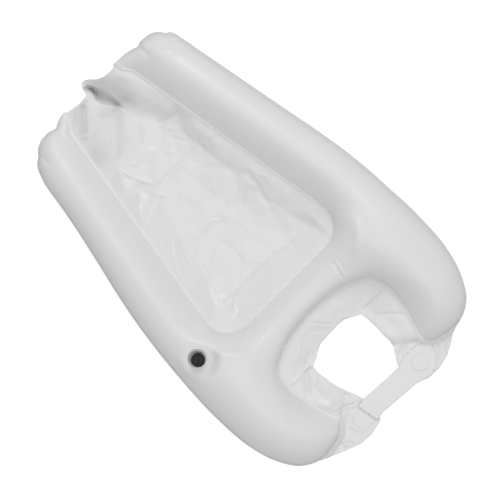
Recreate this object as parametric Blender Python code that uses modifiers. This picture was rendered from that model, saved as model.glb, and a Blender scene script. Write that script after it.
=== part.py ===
"""Inflatable shampoo basin: a U of air tubes round a trough, a neck ring, a strap and an air valve.

Metres, +Z up. The spout points to +Y, the neck ring to -Y, and the valve is on the -X arm.
The origin is on the table, under the middle of the basin.
"""
import math

import bmesh
import bpy
import numpy as np
from mathutils import Vector
from mathutils.geometry import delaunay_2d_cdt

# Overall sizes of the inflated air chamber, seam to seam
CHAMBER_WIDTH = 0.444
SEAM_HEIGHT = 0.040
WELD_WIDTH = 0.003

# Films and the gap that welded sheets keep
SKIN_THICKNESS = 0.0006
FILM_THICKNESS = 0.0005
GAP = 0.0003

# Trough between the arms
TROUGH_LENGTH = 0.431
TROUGH_SPOUT_WIDTH = 0.134
TROUGH_NECK_WIDTH = 0.275
TROUGH_CORNER_RADIUS = 0.040
TROUGH_WALL_RUN = 0.043
TROUGH_FLOOR_HEIGHT = 0.0015
FLOOR_POINT_SETBACK = 0.052
FLOOR_SHOULDER_SETBACK = 0.126
FLOOR_SHOULDER_WIDTH = 0.113
CREASE_HEIGHT = 0.003
CREASE_WIDTH = 0.007

# Pouring beak of the trough film
BEAK_REACH = 0.020
BEAK_WIDTH = 0.034
BEAK_LIP_HEIGHT = 0.034
BEAK_GROOVE_HEIGHT = 0.012
LIP_RUN = 0.048

# Arms' closed ends at the spout
ARM_END_DEPTH = 0.031
ARM_SHOULDER_WIDTH = 0.304

# Neck rest bar, neck ring and horns; the trough film holds the bar down on its trough side
BAR_WIDTH = 0.055
BAR_CREST_SHARE = 0.85
BAR_RAMP_SHARE = 0.5
BAR_HOLD_SHARES = (0.60, 0.98)
RING_WIDTH = 0.228
RING_LENGTH = 0.153
HORN_OVERHANG = 0.022
HORN_TIP_DEPTH = 0.046
HORN_SHOULDER_WIDTH = 0.406

# Neck collar film, its hole and its two flaps
HOLE_WIDTH = 0.118
HOLE_LENGTH = 0.1145
HOLE_SETBACK = 0.047
COLLAR_DROP = 0.011
COLLAR_RUN = 0.046
FLAP_DROP = 0.010
FLAP_RUN = 0.015
FLAP_REACH = 0.032
FLAP_GAP = 0.056
FOLD_HEIGHT = 0.005
FOLD_WIDTH = 0.008

# Closure strap on the flaps
STRAP_WIDTH = 0.036
STRAP_THICKNESS = 0.0008
STRAP_REACH = 0.052
STRAP_END_SLANT = 0.017
STRAP_HINGE_REACH = 0.044
STRAP_EDGE_MARGIN = 0.008
STRAP_CORNER_RADIUS = 0.005
STRAP_RAMP_LENGTH = 0.020
ROOT_LENGTH = 0.036
ROOT_WIDTH = 0.046
ROOT_CORNER_RADIUS = 0.014
SEAT_MARGIN = 0.0015
WELD_DISC_DIAMETER = 0.026
WELD_DISC_THICKNESS = 0.0008
HOOK_PATCH_LENGTH = 0.018
HOOK_PATCH_WIDTH = 0.024
HOOK_PATCH_INSET = 0.0025
LOOP_PATCH_LENGTH = 0.048
LOOP_PATCH_WIDTH = 0.029
LOOP_PATCH_INSET = 0.002
PATCH_THICKNESS = 0.001
PATCH_CORNER_RADIUS = 0.009

# Air valve on the left arm
VALVE_ARM_SHARE = 0.473
VALVE_TROUGH_OFFSET = 0.016
VALVE_FLANGE_DIAMETER = 0.040
VALVE_FLANGE_THICKNESS = 0.0012
VALVE_FLAT_MARGIN = 0.001
VALVE_NECK_DIAMETER = 0.0190
VALVE_NECK_WALL = 0.0014
VALVE_NECK_HEIGHT = 0.0055
VALVE_NECK_DEPTH = 0.0060
SEAT_THROAT_DIAMETER = 0.0120
SEAT_BOSS_HEIGHT = 0.0050
SEAT_WEB_THICKNESS = 0.0014
SEAT_HUB_DIAMETER = 0.0044
SEAT_SPOKE_WIDTH = 0.0016
SEAT_SPOKE_COUNT = 3
CHECK_FLAP_LAP = 0.0007
CHECK_FLAP_THICKNESS = 0.0006
CAP_DIAMETER = 0.0220
CAP_WALL = 0.0016
CAP_TOP_THICKNESS = 0.0014
CAP_DISH_DEPTH = 0.0016
CAP_RIM_WIDTH = 0.0022
CAP_GRIP_WIDTH = 0.0026
CAP_BEVEL = 0.0005
CAP_FLUTE_COUNT = 16
CAP_FLUTE_DIAMETER = 0.0016
GASKET_WIDTH = 0.0024
GASKET_THICKNESS = 0.0010
OVERRUN = 0.0010

# Mesh spacing of the soft forms
CHAMBER_STEP = 0.023
LINER_STEP = 0.0123
COLLAR_STEP = 0.0080
ROUND_SEGMENTS = 32
CURVE_STEPS = 10
COINCIDENCE = 0.0000001
MERGE_DISTANCE = 0.00001

# Places that follow from the sizes above
HALF_WIDTH = CHAMBER_WIDTH / 2
CHAMBER_LENGTH = TROUGH_LENGTH + BAR_WIDTH + RING_LENGTH + HORN_OVERHANG
OVERALL_LENGTH = BEAK_REACH + CHAMBER_LENGTH + FLAP_REACH
SPOUT_TIP_Y = OVERALL_LENGTH / 2
ARM_END_Y = SPOUT_TIP_Y - BEAK_REACH
HORN_END_Y = ARM_END_Y - CHAMBER_LENGTH
TROUGH_END_Y = ARM_END_Y - TROUGH_LENGTH
RING_TOP_Y = TROUGH_END_Y - BAR_WIDTH
HORN_SHOULDER_Y = HORN_END_Y + HORN_TIP_DEPTH
HOLE_TOP_Y = RING_TOP_Y - HOLE_SETBACK
FLAP_END_Y = HORN_END_Y - FLAP_REACH
SKIN_OFFSET = FILM_THICKNESS / 2 + GAP + SKIN_THICKNESS
WELD_REACH = WELD_WIDTH + GAP
FLAP_HEIGHT = SEAM_HEIGHT - FLAP_DROP
STRAP_Y = FLAP_END_Y + STRAP_EDGE_MARGIN + STRAP_WIDTH / 2
STRAP_BASE = FLAP_HEIGHT + FILM_THICKNESS / 2 + GAP
PATCH_LIFT = PATCH_THICKNESS + GAP
STRAP_AXIS = (STRAP_HINGE_REACH, STRAP_Y, STRAP_BASE + STRAP_THICKNESS)
ROOT_CENTRE = (STRAP_HINGE_REACH + GAP + ROOT_LENGTH / 2, STRAP_Y + (ROOT_WIDTH - STRAP_WIDTH) / 2)
VALVE_REACH = TROUGH_NECK_WIDTH / 2 + (HALF_WIDTH - TROUGH_NECK_WIDTH / 2) * VALVE_ARM_SHARE
VALVE_CENTRE = (-VALVE_REACH, TROUGH_END_Y + VALVE_TROUGH_OFFSET)
FLOOR_HEIGHT = TROUGH_FLOOR_HEIGHT + FILM_THICKNESS / 2

# Outer side of the right half, from the arm's shoulder to the horn's shoulder.
# The first share is of HALF_WIDTH, the second of the way from shoulder to shoulder.
SIDE_SHARES = ((0.738, 0.10), (0.832, 0.297), (0.931, 0.487), (0.982, 0.649), (1.0, 0.817), (0.979, 0.919))
# Closed end of an arm: share of its width from the trough seam out, and of ARM_END_DEPTH down
ARM_END_SHARES = ((-0.04, 0.62), (-0.17, 0.10), (0.15, 0.0), (0.45, 0.06), (0.70, 0.18), (0.90, 0.48))
# Blunt horn tip: share of its width from the ring seam out, and of HORN_TIP_DEPTH down.
# The collar's weld starts at the second point.
HORN_TIP_SHARES = ((0.80, 0.70), (0.54, 1.0), (0.295, 0.97), (0.094, 0.81))
# Neck ring seam: share of half RING_WIDTH, and of RING_LENGTH from its top
RING_SHARES = ((0.82, 1.0), (0.862, 0.876), (0.959, 0.629), (1.0, 0.402), (0.917, 0.196), (0.634, 0.072),
               (0.303, 0.016))
# Neck hole, clockwise from its top: shares of half HOLE_WIDTH and of HOLE_LENGTH
HOLE_SHARES = ((0.0, 0.0), (0.42, 0.01), (0.63, 0.055), (0.87, 0.12), (0.97, 0.25), (0.95, 0.45),
               (0.92, 0.62), (0.82, 0.79), (0.66, 0.93), (0.51, 1.0))
# Outer edge of a flap: share of the way from FLAP_GAP's half to the horn tip, and of FLAP_REACH
FLAP_SHARES = ((0.93, 0.22), (0.80, 0.55), (0.66, 0.80), (0.45, 1.0), (0.18, 0.93), (0.03, 0.60),
               (0.02, 0.15))
# Spout edge from the right arm to the left: share of half TROUGH_SPOUT_WIDTH, of BEAK_REACH, and of lip drop
BEAK_SHARES = ((0.52, 0.02, 0.35), (0.26, 0.42, 0.55), (0.08, 0.93, 1.0), (0.0, 1.0, 1.0),
               (-0.06, 0.70, 0.75), (-0.12, 0.05, 0.0), (-0.45, 0.0, 0.0))
# Main folds of the collar: ends as shares of half RING_WIDTH and RING_LENGTH, and height in FOLD_HEIGHT
FOLD_SHARES = (((0.50, 0.46), (0.92, 0.77), 1.0), ((0.55, 0.40), (0.90, 0.37), -0.8),
               ((0.47, 0.33), (0.86, 0.30), 0.6), ((0.72, 0.93), (0.85, 0.74), -0.8),
               ((-0.12, 0.08), (0.09, 0.28), -0.5),
               ((-0.52, 0.42), (-0.70, 0.41), -0.7), ((-0.70, 0.40), (-0.94, 0.38), 0.8),
               ((-0.64, 0.46), (-0.88, 0.62), -0.9), ((-0.56, 0.50), (-0.60, 0.84), 0.6),
               ((-0.40, 0.99), (-0.82, 0.88), -0.7))
# Main creases of the trough film: points as shares of half TROUGH_NECK_WIDTH and of TROUGH_LENGTH from the
# arms' ends, then the height in CREASE_HEIGHT
CREASE_SHARES = ((((-0.66, 0.413), (-0.03, 0.405), (0.46, 0.408), (0.74, 0.44)), 1.0),
                 (((0.50, 0.66), (0.58, 0.75)), -0.9), (((-0.40, 0.51), (-0.46, 0.68)), 0.5),
                 (((-0.86, 0.66), (-0.78, 0.80)), 1.0), (((-0.52, 0.90), (-0.66, 0.98)), 0.7),
                 (((0.10, 0.60), (-0.18, 0.70)), 0.4))
# Inset rows of the chamber's mesh, as angles round the tube
ROW_ANGLE_SHARES = (0.25, 0.5, 0.75, 1.0)


def clear_scene():
    for old in list(bpy.data.objects):
        bpy.data.objects.remove(old)


def make_collections():
    parts = bpy.data.collections.new("shampoo_basin")
    cutters = bpy.data.collections.new("cutters")
    bpy.context.scene.collection.children.link(parts)
    bpy.context.scene.collection.children.link(cutters)
    return parts, cutters


def plain_material(name, colour, roughness, alpha):
    material = bpy.data.materials.new(name)
    material.use_nodes = True
    shader = material.node_tree.nodes["Principled BSDF"]
    shader.inputs["Base Color"].default_value = (*colour, 1.0)
    shader.inputs["Roughness"].default_value = roughness
    shader.inputs["Metallic"].default_value = 0.0
    shader.inputs["Alpha"].default_value = alpha
    return material


# Plan curves

def smooth_curve(points, steps):
    """A curve through the points, with tangents that suit unequal spacing."""
    points = np.asarray(points, float)
    spans = np.linalg.norm(np.diff(points, axis=0), axis=1)
    slopes = np.diff(points, axis=0) / spans[:, None]
    tangents = np.empty_like(points)
    tangents[0] = slopes[0]
    tangents[-1] = slopes[-1]
    weight = (spans[:-1] / (spans[:-1] + spans[1:]))[:, None]
    tangents[1:-1] = slopes[:-1] * (1 - weight) + slopes[1:] * weight
    curve = []
    for index, span in enumerate(spans):
        for t in np.arange(steps) / steps:
            start, end = points[index], points[index + 1]
            h1 = 2 * t ** 3 - 3 * t ** 2 + 1
            h2 = t ** 3 - 2 * t ** 2 + t
            h3 = 3 * t ** 2 - 2 * t ** 3
            h4 = t ** 3 - t ** 2
            curve.append(start * h1 + tangents[index] * span * h2
                         + end * h3 + tangents[index + 1] * span * h4)
    curve.append(points[-1])
    return np.array(curve)


def resample(points, step):
    """The same curve with points about one step apart; its ends stay."""
    points = np.asarray(points, float)
    length = np.concatenate(([0.0], np.cumsum(np.linalg.norm(np.diff(points, axis=0), axis=1))))
    count = max(1, round(length[-1] / step))
    places = np.linspace(0.0, length[-1], count + 1)
    return np.column_stack([np.interp(places, length, points[:, axis]) for axis in range(points.shape[1])])


def mirrored(points):
    """The left copy of a right-hand curve, run the other way."""
    points = np.asarray(points, float)[::-1].copy()
    points[:, 0] = -points[:, 0]
    return points


def trough_seam_x(y):
    """Half the trough's width between the arm seams."""
    share = (ARM_END_Y - y) / TROUGH_LENGTH
    return (TROUGH_SPOUT_WIDTH + (TROUGH_NECK_WIDTH - TROUGH_SPOUT_WIDTH) * share) / 2


def trough_corner():
    """The trough's right corner at the neck end, from its end line round to its side line."""
    lean = math.atan2((TROUGH_NECK_WIDTH - TROUGH_SPOUT_WIDTH) / 2, TROUGH_LENGTH)
    turn = math.pi / 2 + lean
    reach = TROUGH_CORNER_RADIUS / math.tan((math.pi - turn) / 2)
    centre = np.array((TROUGH_NECK_WIDTH / 2 - reach, TROUGH_END_Y + TROUGH_CORNER_RADIUS))
    angles = np.linspace(-math.pi / 2, -math.pi / 2 + turn, CURVE_STEPS)
    return [centre + TROUGH_CORNER_RADIUS * np.array((math.cos(a), math.sin(a))) for a in angles]


def seam_stretches(step):
    """The right half of the chamber's seam: trough side, outer side, horn tip and neck ring."""
    shoulder_y = ARM_END_Y - ARM_END_DEPTH
    inner_x = trough_seam_x(shoulder_y)
    arm_width = ARM_SHOULDER_WIDTH / 2 - inner_x
    arm_end = [(inner_x + arm_width * x, ARM_END_Y - ARM_END_DEPTH * y) for x, y in ARM_END_SHARES]
    side_length = shoulder_y - HORN_SHOULDER_Y
    side = [(HALF_WIDTH * x, shoulder_y - side_length * y) for x, y in SIDE_SHARES]
    horn_inner_x = RING_WIDTH / 2 * RING_SHARES[0][0]
    horn_width = HORN_SHOULDER_WIDTH / 2 - horn_inner_x
    tip = [(horn_inner_x + horn_width * x, HORN_SHOULDER_Y - HORN_TIP_DEPTH * y) for x, y in HORN_TIP_SHARES]
    ring = [(RING_WIDTH / 2 * x, RING_TOP_Y - RING_LENGTH * y) for x, y in RING_SHARES]
    ring.append((0.0, RING_TOP_Y))
    straight_end_y = shoulder_y - ARM_END_DEPTH / 2
    straight = resample([trough_corner()[-1], (trough_seam_x(straight_end_y), straight_end_y)], step)
    knots = [straight[-2], straight[-1]] + arm_end + [(ARM_SHOULDER_WIDTH / 2, shoulder_y)] + side
    knots += [(HORN_SHOULDER_WIDTH / 2, HORN_SHOULDER_Y)] + tip + ring + [(-ring[-2][0], ring[-2][1])]
    curve = smooth_curve(knots, CURVE_STEPS)
    arm_tip = (1 + 2) * CURVE_STEPS
    ring_start = (len(knots) - 1 - len(ring)) * CURVE_STEPS
    ring_end = (len(knots) - 2) * CURVE_STEPS
    collar_start = ring_start - (len(tip) - 1) * CURVE_STEPS
    trough = [(0.0, TROUGH_END_Y)] + trough_corner() + list(straight[1:-1])
    trough += list(curve[CURVE_STEPS:arm_tip + 1])
    return (resample(trough, step),
            resample(curve[arm_tip:collar_start + 1], step),
            resample(curve[collar_start:ring_start + 1], step),
            resample(curve[ring_start:ring_end + 1], step))


def chamber_seam(step):
    """The whole seam as one closed loop, anticlockwise round the chamber from the middle of the ring."""
    trough, outside, tip, ring = seam_stretches(step)
    right = np.vstack((trough, outside[1:], tip[1:], ring[1:]))[::-1]
    left = mirrored(right)
    return np.vstack((right, left[1:-1]))


def seam_run(first, last, step):
    """The seam from its right-hand point "first" through the middle to the left, with outward normals.

    The places are counted from the middle of the neck ring along the right half, down to 0 or up to "last".
    """
    seam = chamber_seam(step)
    outward = -loop_normals(seam)
    places = list(range(first, last, 1 if last > first else -1)) + [last]
    mirror = [(len(seam) - place) % len(seam) for place in places[-2::-1]]
    run = places + mirror
    return seam[run], outward[run]


def rounded_outline(centre, length, width, radius, segments):
    """A rectangle with round corners, as a closed loop."""
    loop = []
    quarter = segments // 4
    signs = ((1, 1), (-1, 1), (-1, -1), (1, -1))
    for corner, (side_x, side_y) in enumerate(signs):
        middle = (centre[0] + side_x * (length / 2 - radius), centre[1] + side_y * (width / 2 - radius))
        for step in range(quarter + 1):
            angle = math.pi / 2 * (corner + step / quarter)
            loop.append((middle[0] + radius * math.cos(angle), middle[1] + radius * math.sin(angle)))
    return np.array(loop)


def circle(centre, radius, segments):
    angles = np.arange(segments) * 2 * math.pi / segments
    return np.column_stack((centre[0] + radius * np.cos(angles), centre[1] + radius * np.sin(angles)))


# Plan tests

def distance_to(points, line, closed):
    """Distance of each point from a polyline."""
    points = np.atleast_2d(points)
    start = np.asarray(line)
    end = np.roll(start, -1, axis=0)
    if not closed:
        start, end = start[:-1], end[:-1]
    run = end - start
    offset = points[:, None, :] - start[None, :, :]
    share = np.clip((offset * run).sum(axis=2) / np.maximum((run ** 2).sum(axis=1), COINCIDENCE ** 2), 0, 1)
    return np.linalg.norm(offset - share[:, :, None] * run, axis=2).min(axis=1)


def inside(points, loop):
    """Whether each point lies inside a closed loop."""
    points = np.atleast_2d(points)
    start = np.asarray(loop)
    end = np.roll(start, -1, axis=0)
    x, y = points[:, 0:1], points[:, 1:2]
    crosses = (start[:, 1] > y) != (end[:, 1] > y)
    rise = np.where(end[:, 1] == start[:, 1], 1.0, end[:, 1] - start[:, 1])
    at_x = start[:, 0] + (y - start[:, 1]) * (end[:, 0] - start[:, 0]) / rise
    return (crosses & (x < at_x)).sum(axis=1) % 2 == 1


def loop_normals(loop):
    """Unit normals at the points of a closed loop, to the left of its run."""
    ahead = np.roll(loop, -1, axis=0) - loop
    behind = loop - np.roll(loop, 1, axis=0)
    along = ahead / np.linalg.norm(ahead, axis=1)[:, None] + behind / np.linalg.norm(behind, axis=1)[:, None]
    along /= np.linalg.norm(along, axis=1)[:, None]
    return np.column_stack((-along[:, 1], along[:, 0]))


def thinned(candidates, taken, least):
    """The candidates that keep clear of each other and of the points already taken."""
    kept = list(np.asarray(taken))
    first_new = len(kept)
    for point in candidates:
        if np.linalg.norm(np.array(kept) - point, axis=1).min() >= least:
            kept.append(point)
    return kept[first_new:]


def lattice(loop, step):
    """Points of a triangular lattice inside a loop."""
    low = loop.min(axis=0)
    high = loop.max(axis=0)
    row_step = step * math.sqrt(3) / 2
    points = []
    for row in range(int((high[1] - low[1]) / row_step) + 1):
        shift = step / 2 * (row % 2)
        for column in range(int((high[0] - low[0]) / step) + 1):
            points.append((low[0] + shift + column * step, low[1] + row * row_step))
    points = np.array(points)
    return points[inside(points, loop)]


def triangulate(outline, lines, loops, extra, holes):
    """Triangles that fill an outline, follow the given lines and loops, and leave the holes open."""
    points = list(outline)
    edges = [(i, (i + 1) % len(outline)) for i in range(len(outline))]
    for line in lines:
        first = len(points)
        points += list(line)
        edges += [(first + i, first + i + 1) for i in range(len(line) - 1)]
    for loop in loops:
        first = len(points)
        points += list(loop)
        edges += [(first + i, first + (i + 1) % len(loop)) for i in range(len(loop))]
    points += list(extra)
    result = delaunay_2d_cdt([Vector(p[:2]) for p in points], edges, [], 0, COINCIDENCE)
    flat = np.array([tuple(v) for v in result[0]])
    faces = np.array([face for face in result[2]])
    middles = flat[faces].mean(axis=1)
    keep = inside(middles, outline)
    for hole in holes:
        keep &= ~inside(middles, hole)
    return flat, faces[keep]


# The inflated chamber

def inflation(flat, faces, fixed):
    """How far an inflated sheet bulges at each point: the root of a stress function that is zero at the seam.

    On a long tube the result is a half circle, and where tubes meet it is their smooth junction.
    """
    count = len(flat)
    stiffness = np.zeros((count, count))
    load = np.zeros(count)
    for face in faces:
        a, b, c = flat[face]
        area = abs((b[0] - a[0]) * (c[1] - a[1]) - (b[1] - a[1]) * (c[0] - a[0])) / 2
        slopes = np.array(((b[1] - c[1], c[0] - b[0]),
                           (c[1] - a[1], a[0] - c[0]),
                           (a[1] - b[1], b[0] - a[0])))
        slopes = slopes / (2 * area)
        stiffness[np.ix_(face, face)] += area * slopes @ slopes.T
        load[face] += 2 * area / 3
    free = ~fixed
    stress = np.zeros(count)
    stress[free] = np.linalg.solve(stiffness[np.ix_(free, free)], load[free])
    return np.sqrt(np.maximum(stress, 0))


def chamber_rows(seam, flat_pad):
    """Rows of points inset from the seam, spaced as equal angles round the arms' tubes."""
    tube_radius = (ARM_SHOULDER_WIDTH - TROUGH_SPOUT_WIDTH) / 4
    normals = loop_normals(seam)
    points = []
    for share in ROW_ANGLE_SHARES:
        depth = tube_radius * (1 - math.cos(math.pi / 2 * share))
        candidates = seam + normals * depth
        clear = distance_to(candidates, seam, True) > 0.95 * depth
        candidates = candidates[clear & inside(candidates, seam)]
        candidates = candidates[distance_to(candidates, flat_pad, True) > CHAMBER_STEP / 3]
        candidates = candidates[~inside(candidates, flat_pad)]
        least = min(depth * 0.8, CHAMBER_STEP * 0.7)
        points += thinned(candidates, list(seam) + points, least)
    middle = lattice(seam, CHAMBER_STEP * 1.3)
    middle = middle[distance_to(middle, seam, True) > tube_radius]
    middle = middle[~inside(middle, flat_pad)]
    points += thinned(middle, list(seam) + points + list(flat_pad), CHAMBER_STEP * 0.95)
    return points


def chamber_sheet():
    """Plan mesh of the chamber with its bulge at each point, and the loops that the skins share."""
    seam = chamber_seam(CHAMBER_STEP)
    flat_pad = circle(VALVE_CENTRE, VALVE_FLANGE_DIAMETER / 2 + VALVE_FLAT_MARGIN, ROUND_SEGMENTS)
    hole = circle(VALVE_CENTRE, VALVE_NECK_DIAMETER / 2 + GAP, ROUND_SEGMENTS)
    rows = chamber_rows(seam, flat_pad)
    flat, faces = triangulate(seam, [], [flat_pad, hole], rows + [np.array(VALVE_CENTRE)], [])
    fixed = distance_to(flat, seam, True) < GAP / 3
    bulge = inflation(flat, faces, fixed)
    on_pad = distance_to(flat, flat_pad, True) < GAP / 3
    within = inside(flat, flat_pad) | on_pad
    bulge[within] = bulge[on_pad].mean()
    pad_height = SEAM_HEIGHT + SKIN_OFFSET + float(bulge[on_pad].mean())
    return seam, hole, flat, faces, bulge, pad_height


def film_object(name, points, faces, thickness, offset, material, collection, origin=(0.0, 0.0, 0.0)):
    """A sheet of even thickness on the given surface, with its origin where it is asked for."""
    mesh = bpy.data.meshes.new(name)
    placed = np.asarray(points, float) - np.asarray(origin)
    mesh.from_pydata([tuple(p) for p in placed], [], [tuple(int(i) for i in f) for f in faces])
    sheet = bpy.data.objects.new(name, mesh)
    sheet.location = origin
    collection.objects.link(sheet)
    mesh.materials.append(material)
    solid = sheet.modifiers.new("Film", "SOLIDIFY")
    solid.thickness = thickness
    solid.offset = offset
    solid.use_even_offset = False
    mesh.shade_smooth()
    return sheet


def with_flange(seam, flat, faces, heights, seam_height):
    """Adds the flat weld flange outside the seam to a skin's surface."""
    outward = seam - loop_normals(seam) * WELD_WIDTH
    nearest = [int(np.argmin(np.linalg.norm(flat - p, axis=1))) for p in seam]
    points = np.column_stack((flat, heights))
    rim = np.column_stack((outward, np.full(len(outward), seam_height)))
    first = len(points)
    count = len(seam)
    strip = []
    for i in range(count):
        j = (i + 1) % count
        strip.append((nearest[i], first + i, first + j))
        strip.append((nearest[i], first + j, nearest[j]))
    return np.vstack((points, rim)), list(faces) + strip


def facing(points, faces, up):
    """The faces, each turned to look up or down."""
    turned = []
    for face in faces:
        a, b, c = (points[i] for i in face)
        is_up = (b[0] - a[0]) * (c[1] - a[1]) - (b[1] - a[1]) * (c[0] - a[0]) > 0
        turned.append(tuple(face) if is_up == up else tuple(face)[::-1])
    return turned


def used_only(points, faces):
    """The points that some face uses, with the faces renumbered."""
    used = sorted({int(i) for face in faces for i in face})
    place = {old: new for new, old in enumerate(used)}
    return np.asarray(points)[used], [tuple(place[int(i)] for i in face) for face in faces]


def bar_hold(flat):
    """Share of its bulge that the upper skin keeps, which is less on the rest bar's slope to the trough."""
    trough = seam_stretches(CHAMBER_STEP)[0]
    across = np.abs(flat[:, 0])
    ramp = distance_to(np.column_stack((across, flat[:, 1])), trough, False) / (BAR_WIDTH * BAR_RAMP_SHARE)
    kept = BAR_CREST_SHARE * np.sqrt(np.clip(ramp, 0, 1))
    first, last = BAR_HOLD_SHARES
    held = np.clip((last - across / (TROUGH_NECK_WIDTH / 2)) / (last - first), 0, 1)
    held *= np.clip((TROUGH_END_Y + TROUGH_CORNER_RADIUS - flat[:, 1]) / TROUGH_CORNER_RADIUS, 0, 1)
    return 1 - held * (1 - kept)


def make_skins(chamber, vinyl, collection):
    seam, hole, flat, faces, bulge, _ = chamber
    top = SEAM_HEIGHT + SKIN_OFFSET
    open_faces = faces[~inside(flat[faces].mean(axis=1), hole)]
    points, all_faces = with_flange(seam, flat, open_faces, top + bulge * bar_hold(flat), top)
    points, all_faces = used_only(points, facing(points, all_faces, True))
    upper = film_object("upper_skin", points, all_faces, SKIN_THICKNESS, -1, vinyl, collection)
    bottom = SEAM_HEIGHT - SKIN_OFFSET
    points, all_faces = with_flange(seam, flat, faces, np.maximum(bottom - bulge, 0), bottom)
    points, all_faces = used_only(points, facing(points, all_faces, False))
    lower = film_object("lower_skin", points, all_faces, SKIN_THICKNESS, -1, vinyl, collection)
    return upper, lower


# The trough film

def floor_half_width(y):
    """Half the width of the trough's flat floor, which narrows to a point towards the spout."""
    point_y = ARM_END_Y - FLOOR_POINT_SETBACK
    shoulder_y = ARM_END_Y - FLOOR_SHOULDER_SETBACK
    if y >= point_y:
        return 0.0
    if y >= shoulder_y:
        return FLOOR_SHOULDER_WIDTH / 2 * (point_y - y) / (point_y - shoulder_y)
    fold_end_y = TROUGH_END_Y + TROUGH_WALL_RUN
    end_half = trough_seam_x(fold_end_y) - TROUGH_WALL_RUN
    share = (shoulder_y - y) / (shoulder_y - fold_end_y)
    return FLOOR_SHOULDER_WIDTH / 2 + (end_half - FLOOR_SHOULDER_WIDTH / 2) * share


def groove_height(y):
    """Height of the valley that leads from the floor's point to the beak."""
    point_y = ARM_END_Y - FLOOR_POINT_SETBACK
    share = min(max((y - point_y) / (SPOUT_TIP_Y - point_y), 0), 1)
    return FLOOR_HEIGHT + (BEAK_GROOVE_HEIGHT - FLOOR_HEIGHT) * share


def lip_half_width(y):
    """How far from the middle the walls reach their lip, which closes in on the groove towards the beak."""
    shoulder_y = ARM_END_Y - FLOOR_SHOULDER_SETBACK
    share = min(max((ARM_END_Y - y) / (ARM_END_Y - shoulder_y), 0), 1)
    narrow = max(BEAK_WIDTH / 2, trough_seam_x(y) - LIP_RUN)
    return narrow + (trough_seam_x(y) - WELD_REACH - narrow) * share


def crease(x, y):
    """Height that the trough film's main creases add."""
    added = 0.0
    for shares, height in CREASE_SHARES:
        line = [(TROUGH_NECK_WIDTH / 2 * across, ARM_END_Y - TROUGH_LENGTH * down) for across, down in shares]
        away = float(distance_to((x, y), line, False)[0])
        added += CREASE_HEIGHT * height * math.exp(-(away / CREASE_WIDTH) ** 2)
    return added


def liner_height(x, y, from_seam):
    """Height of the trough film: flat on the floor, then up its walls to the weld."""
    from_weld = max(from_seam - WELD_REACH, 0)
    wall = 1 - from_weld / (TROUGH_WALL_RUN - WELD_REACH)
    half = floor_half_width(y)
    lip = max(lip_half_width(y), half + WELD_REACH)
    side = (abs(x) - half) / (lip - half)
    rise = min(max(wall, side, 0), 1)
    base = groove_height(y)
    loose = min(from_weld / LINER_STEP, 1)
    return max(base + (SEAM_HEIGHT - base) * rise + crease(x, y) * loose, FLOOR_HEIGHT)


def floor_outline():
    """The fold round the trough's flat floor, from its point down the right and up the left."""
    point_y = ARM_END_Y - FLOOR_POINT_SETBACK
    shoulder_y = ARM_END_Y - FLOOR_SHOULDER_SETBACK
    fold_end_y = TROUGH_END_Y + TROUGH_WALL_RUN
    right = [(0.0, point_y), (FLOOR_SHOULDER_WIDTH / 2, shoulder_y),
             (floor_half_width(fold_end_y), fold_end_y)]
    corners = right + [(-x, y) for x, y in right[:0:-1]] + [right[0]]
    loop = [corners[0]]
    for start, end in zip(corners, corners[1:]):
        loop += list(resample([start, end], LINER_STEP)[1:])
    return np.array(loop)[:-1]


def spout_edge():
    """The free edge of the trough film, from the right arm to the left, with its heights."""
    drop = BEAK_LIP_HEIGHT - BEAK_GROOVE_HEIGHT
    half = TROUGH_SPOUT_WIDTH / 2
    return [(half * x, ARM_END_Y + BEAK_REACH * y, BEAK_LIP_HEIGHT - drop * d) for x, y, d in BEAK_SHARES]


def make_liner(film, collection):
    trough, outside, tip, ring = seam_stretches(CHAMBER_STEP)
    arm_tip = len(outside) + len(tip) + len(ring) - 3
    seam, inward = seam_run(arm_tip, arm_tip + len(trough) - 1, CHAMBER_STEP)
    welded = seam + inward * GAP
    edge = spout_edge()[::-1]
    weld_row = seam + inward * WELD_REACH
    outline = np.vstack((welded, weld_row[-1:], [p[:2] for p in edge], weld_row[:1]))
    fold = floor_outline()
    point_y = ARM_END_Y - FLOOR_POINT_SETBACK
    groove = resample([(0.0, SPOUT_TIP_Y - BEAK_WIDTH / 2), (0.0, point_y + LINER_STEP / 2)], LINER_STEP)
    inner = lattice(outline, LINER_STEP)
    inner = inner[distance_to(inner, outline, True) > LINER_STEP / 2]
    taken = list(outline) + list(weld_row) + list(fold) + list(groove)
    extra = thinned(inner, taken, LINER_STEP * 0.62)
    flat, faces = triangulate(outline, [weld_row, groove], [fold], extra, [])
    from_seam = distance_to(flat, chamber_seam(CHAMBER_STEP), True)
    heights = np.array([liner_height(x, y, d) for (x, y), d in zip(flat, from_seam)])
    for x, y, z in edge:
        heights[int(np.argmin(np.hypot(flat[:, 0] - x, flat[:, 1] - y)))] = z
    points = np.column_stack((flat, heights))
    points, faces = used_only(points, facing(points, faces, True))
    return film_object("trough_liner", points, faces, FILM_THICKNESS, 0, film, collection)


# The neck collar

def collar_fold(x, y):
    """Height that the collar's main folds add."""
    added = 0.0
    for (x1, y1), (x2, y2), height in FOLD_SHARES:
        start = (RING_WIDTH / 2 * x1, RING_TOP_Y - RING_LENGTH * y1)
        end = (RING_WIDTH / 2 * x2, RING_TOP_Y - RING_LENGTH * y2)
        away = float(distance_to((x, y), [start, end], False)[0])
        added += FOLD_HEIGHT * height * math.exp(-(away / FOLD_WIDTH) ** 2)
    return added


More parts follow.
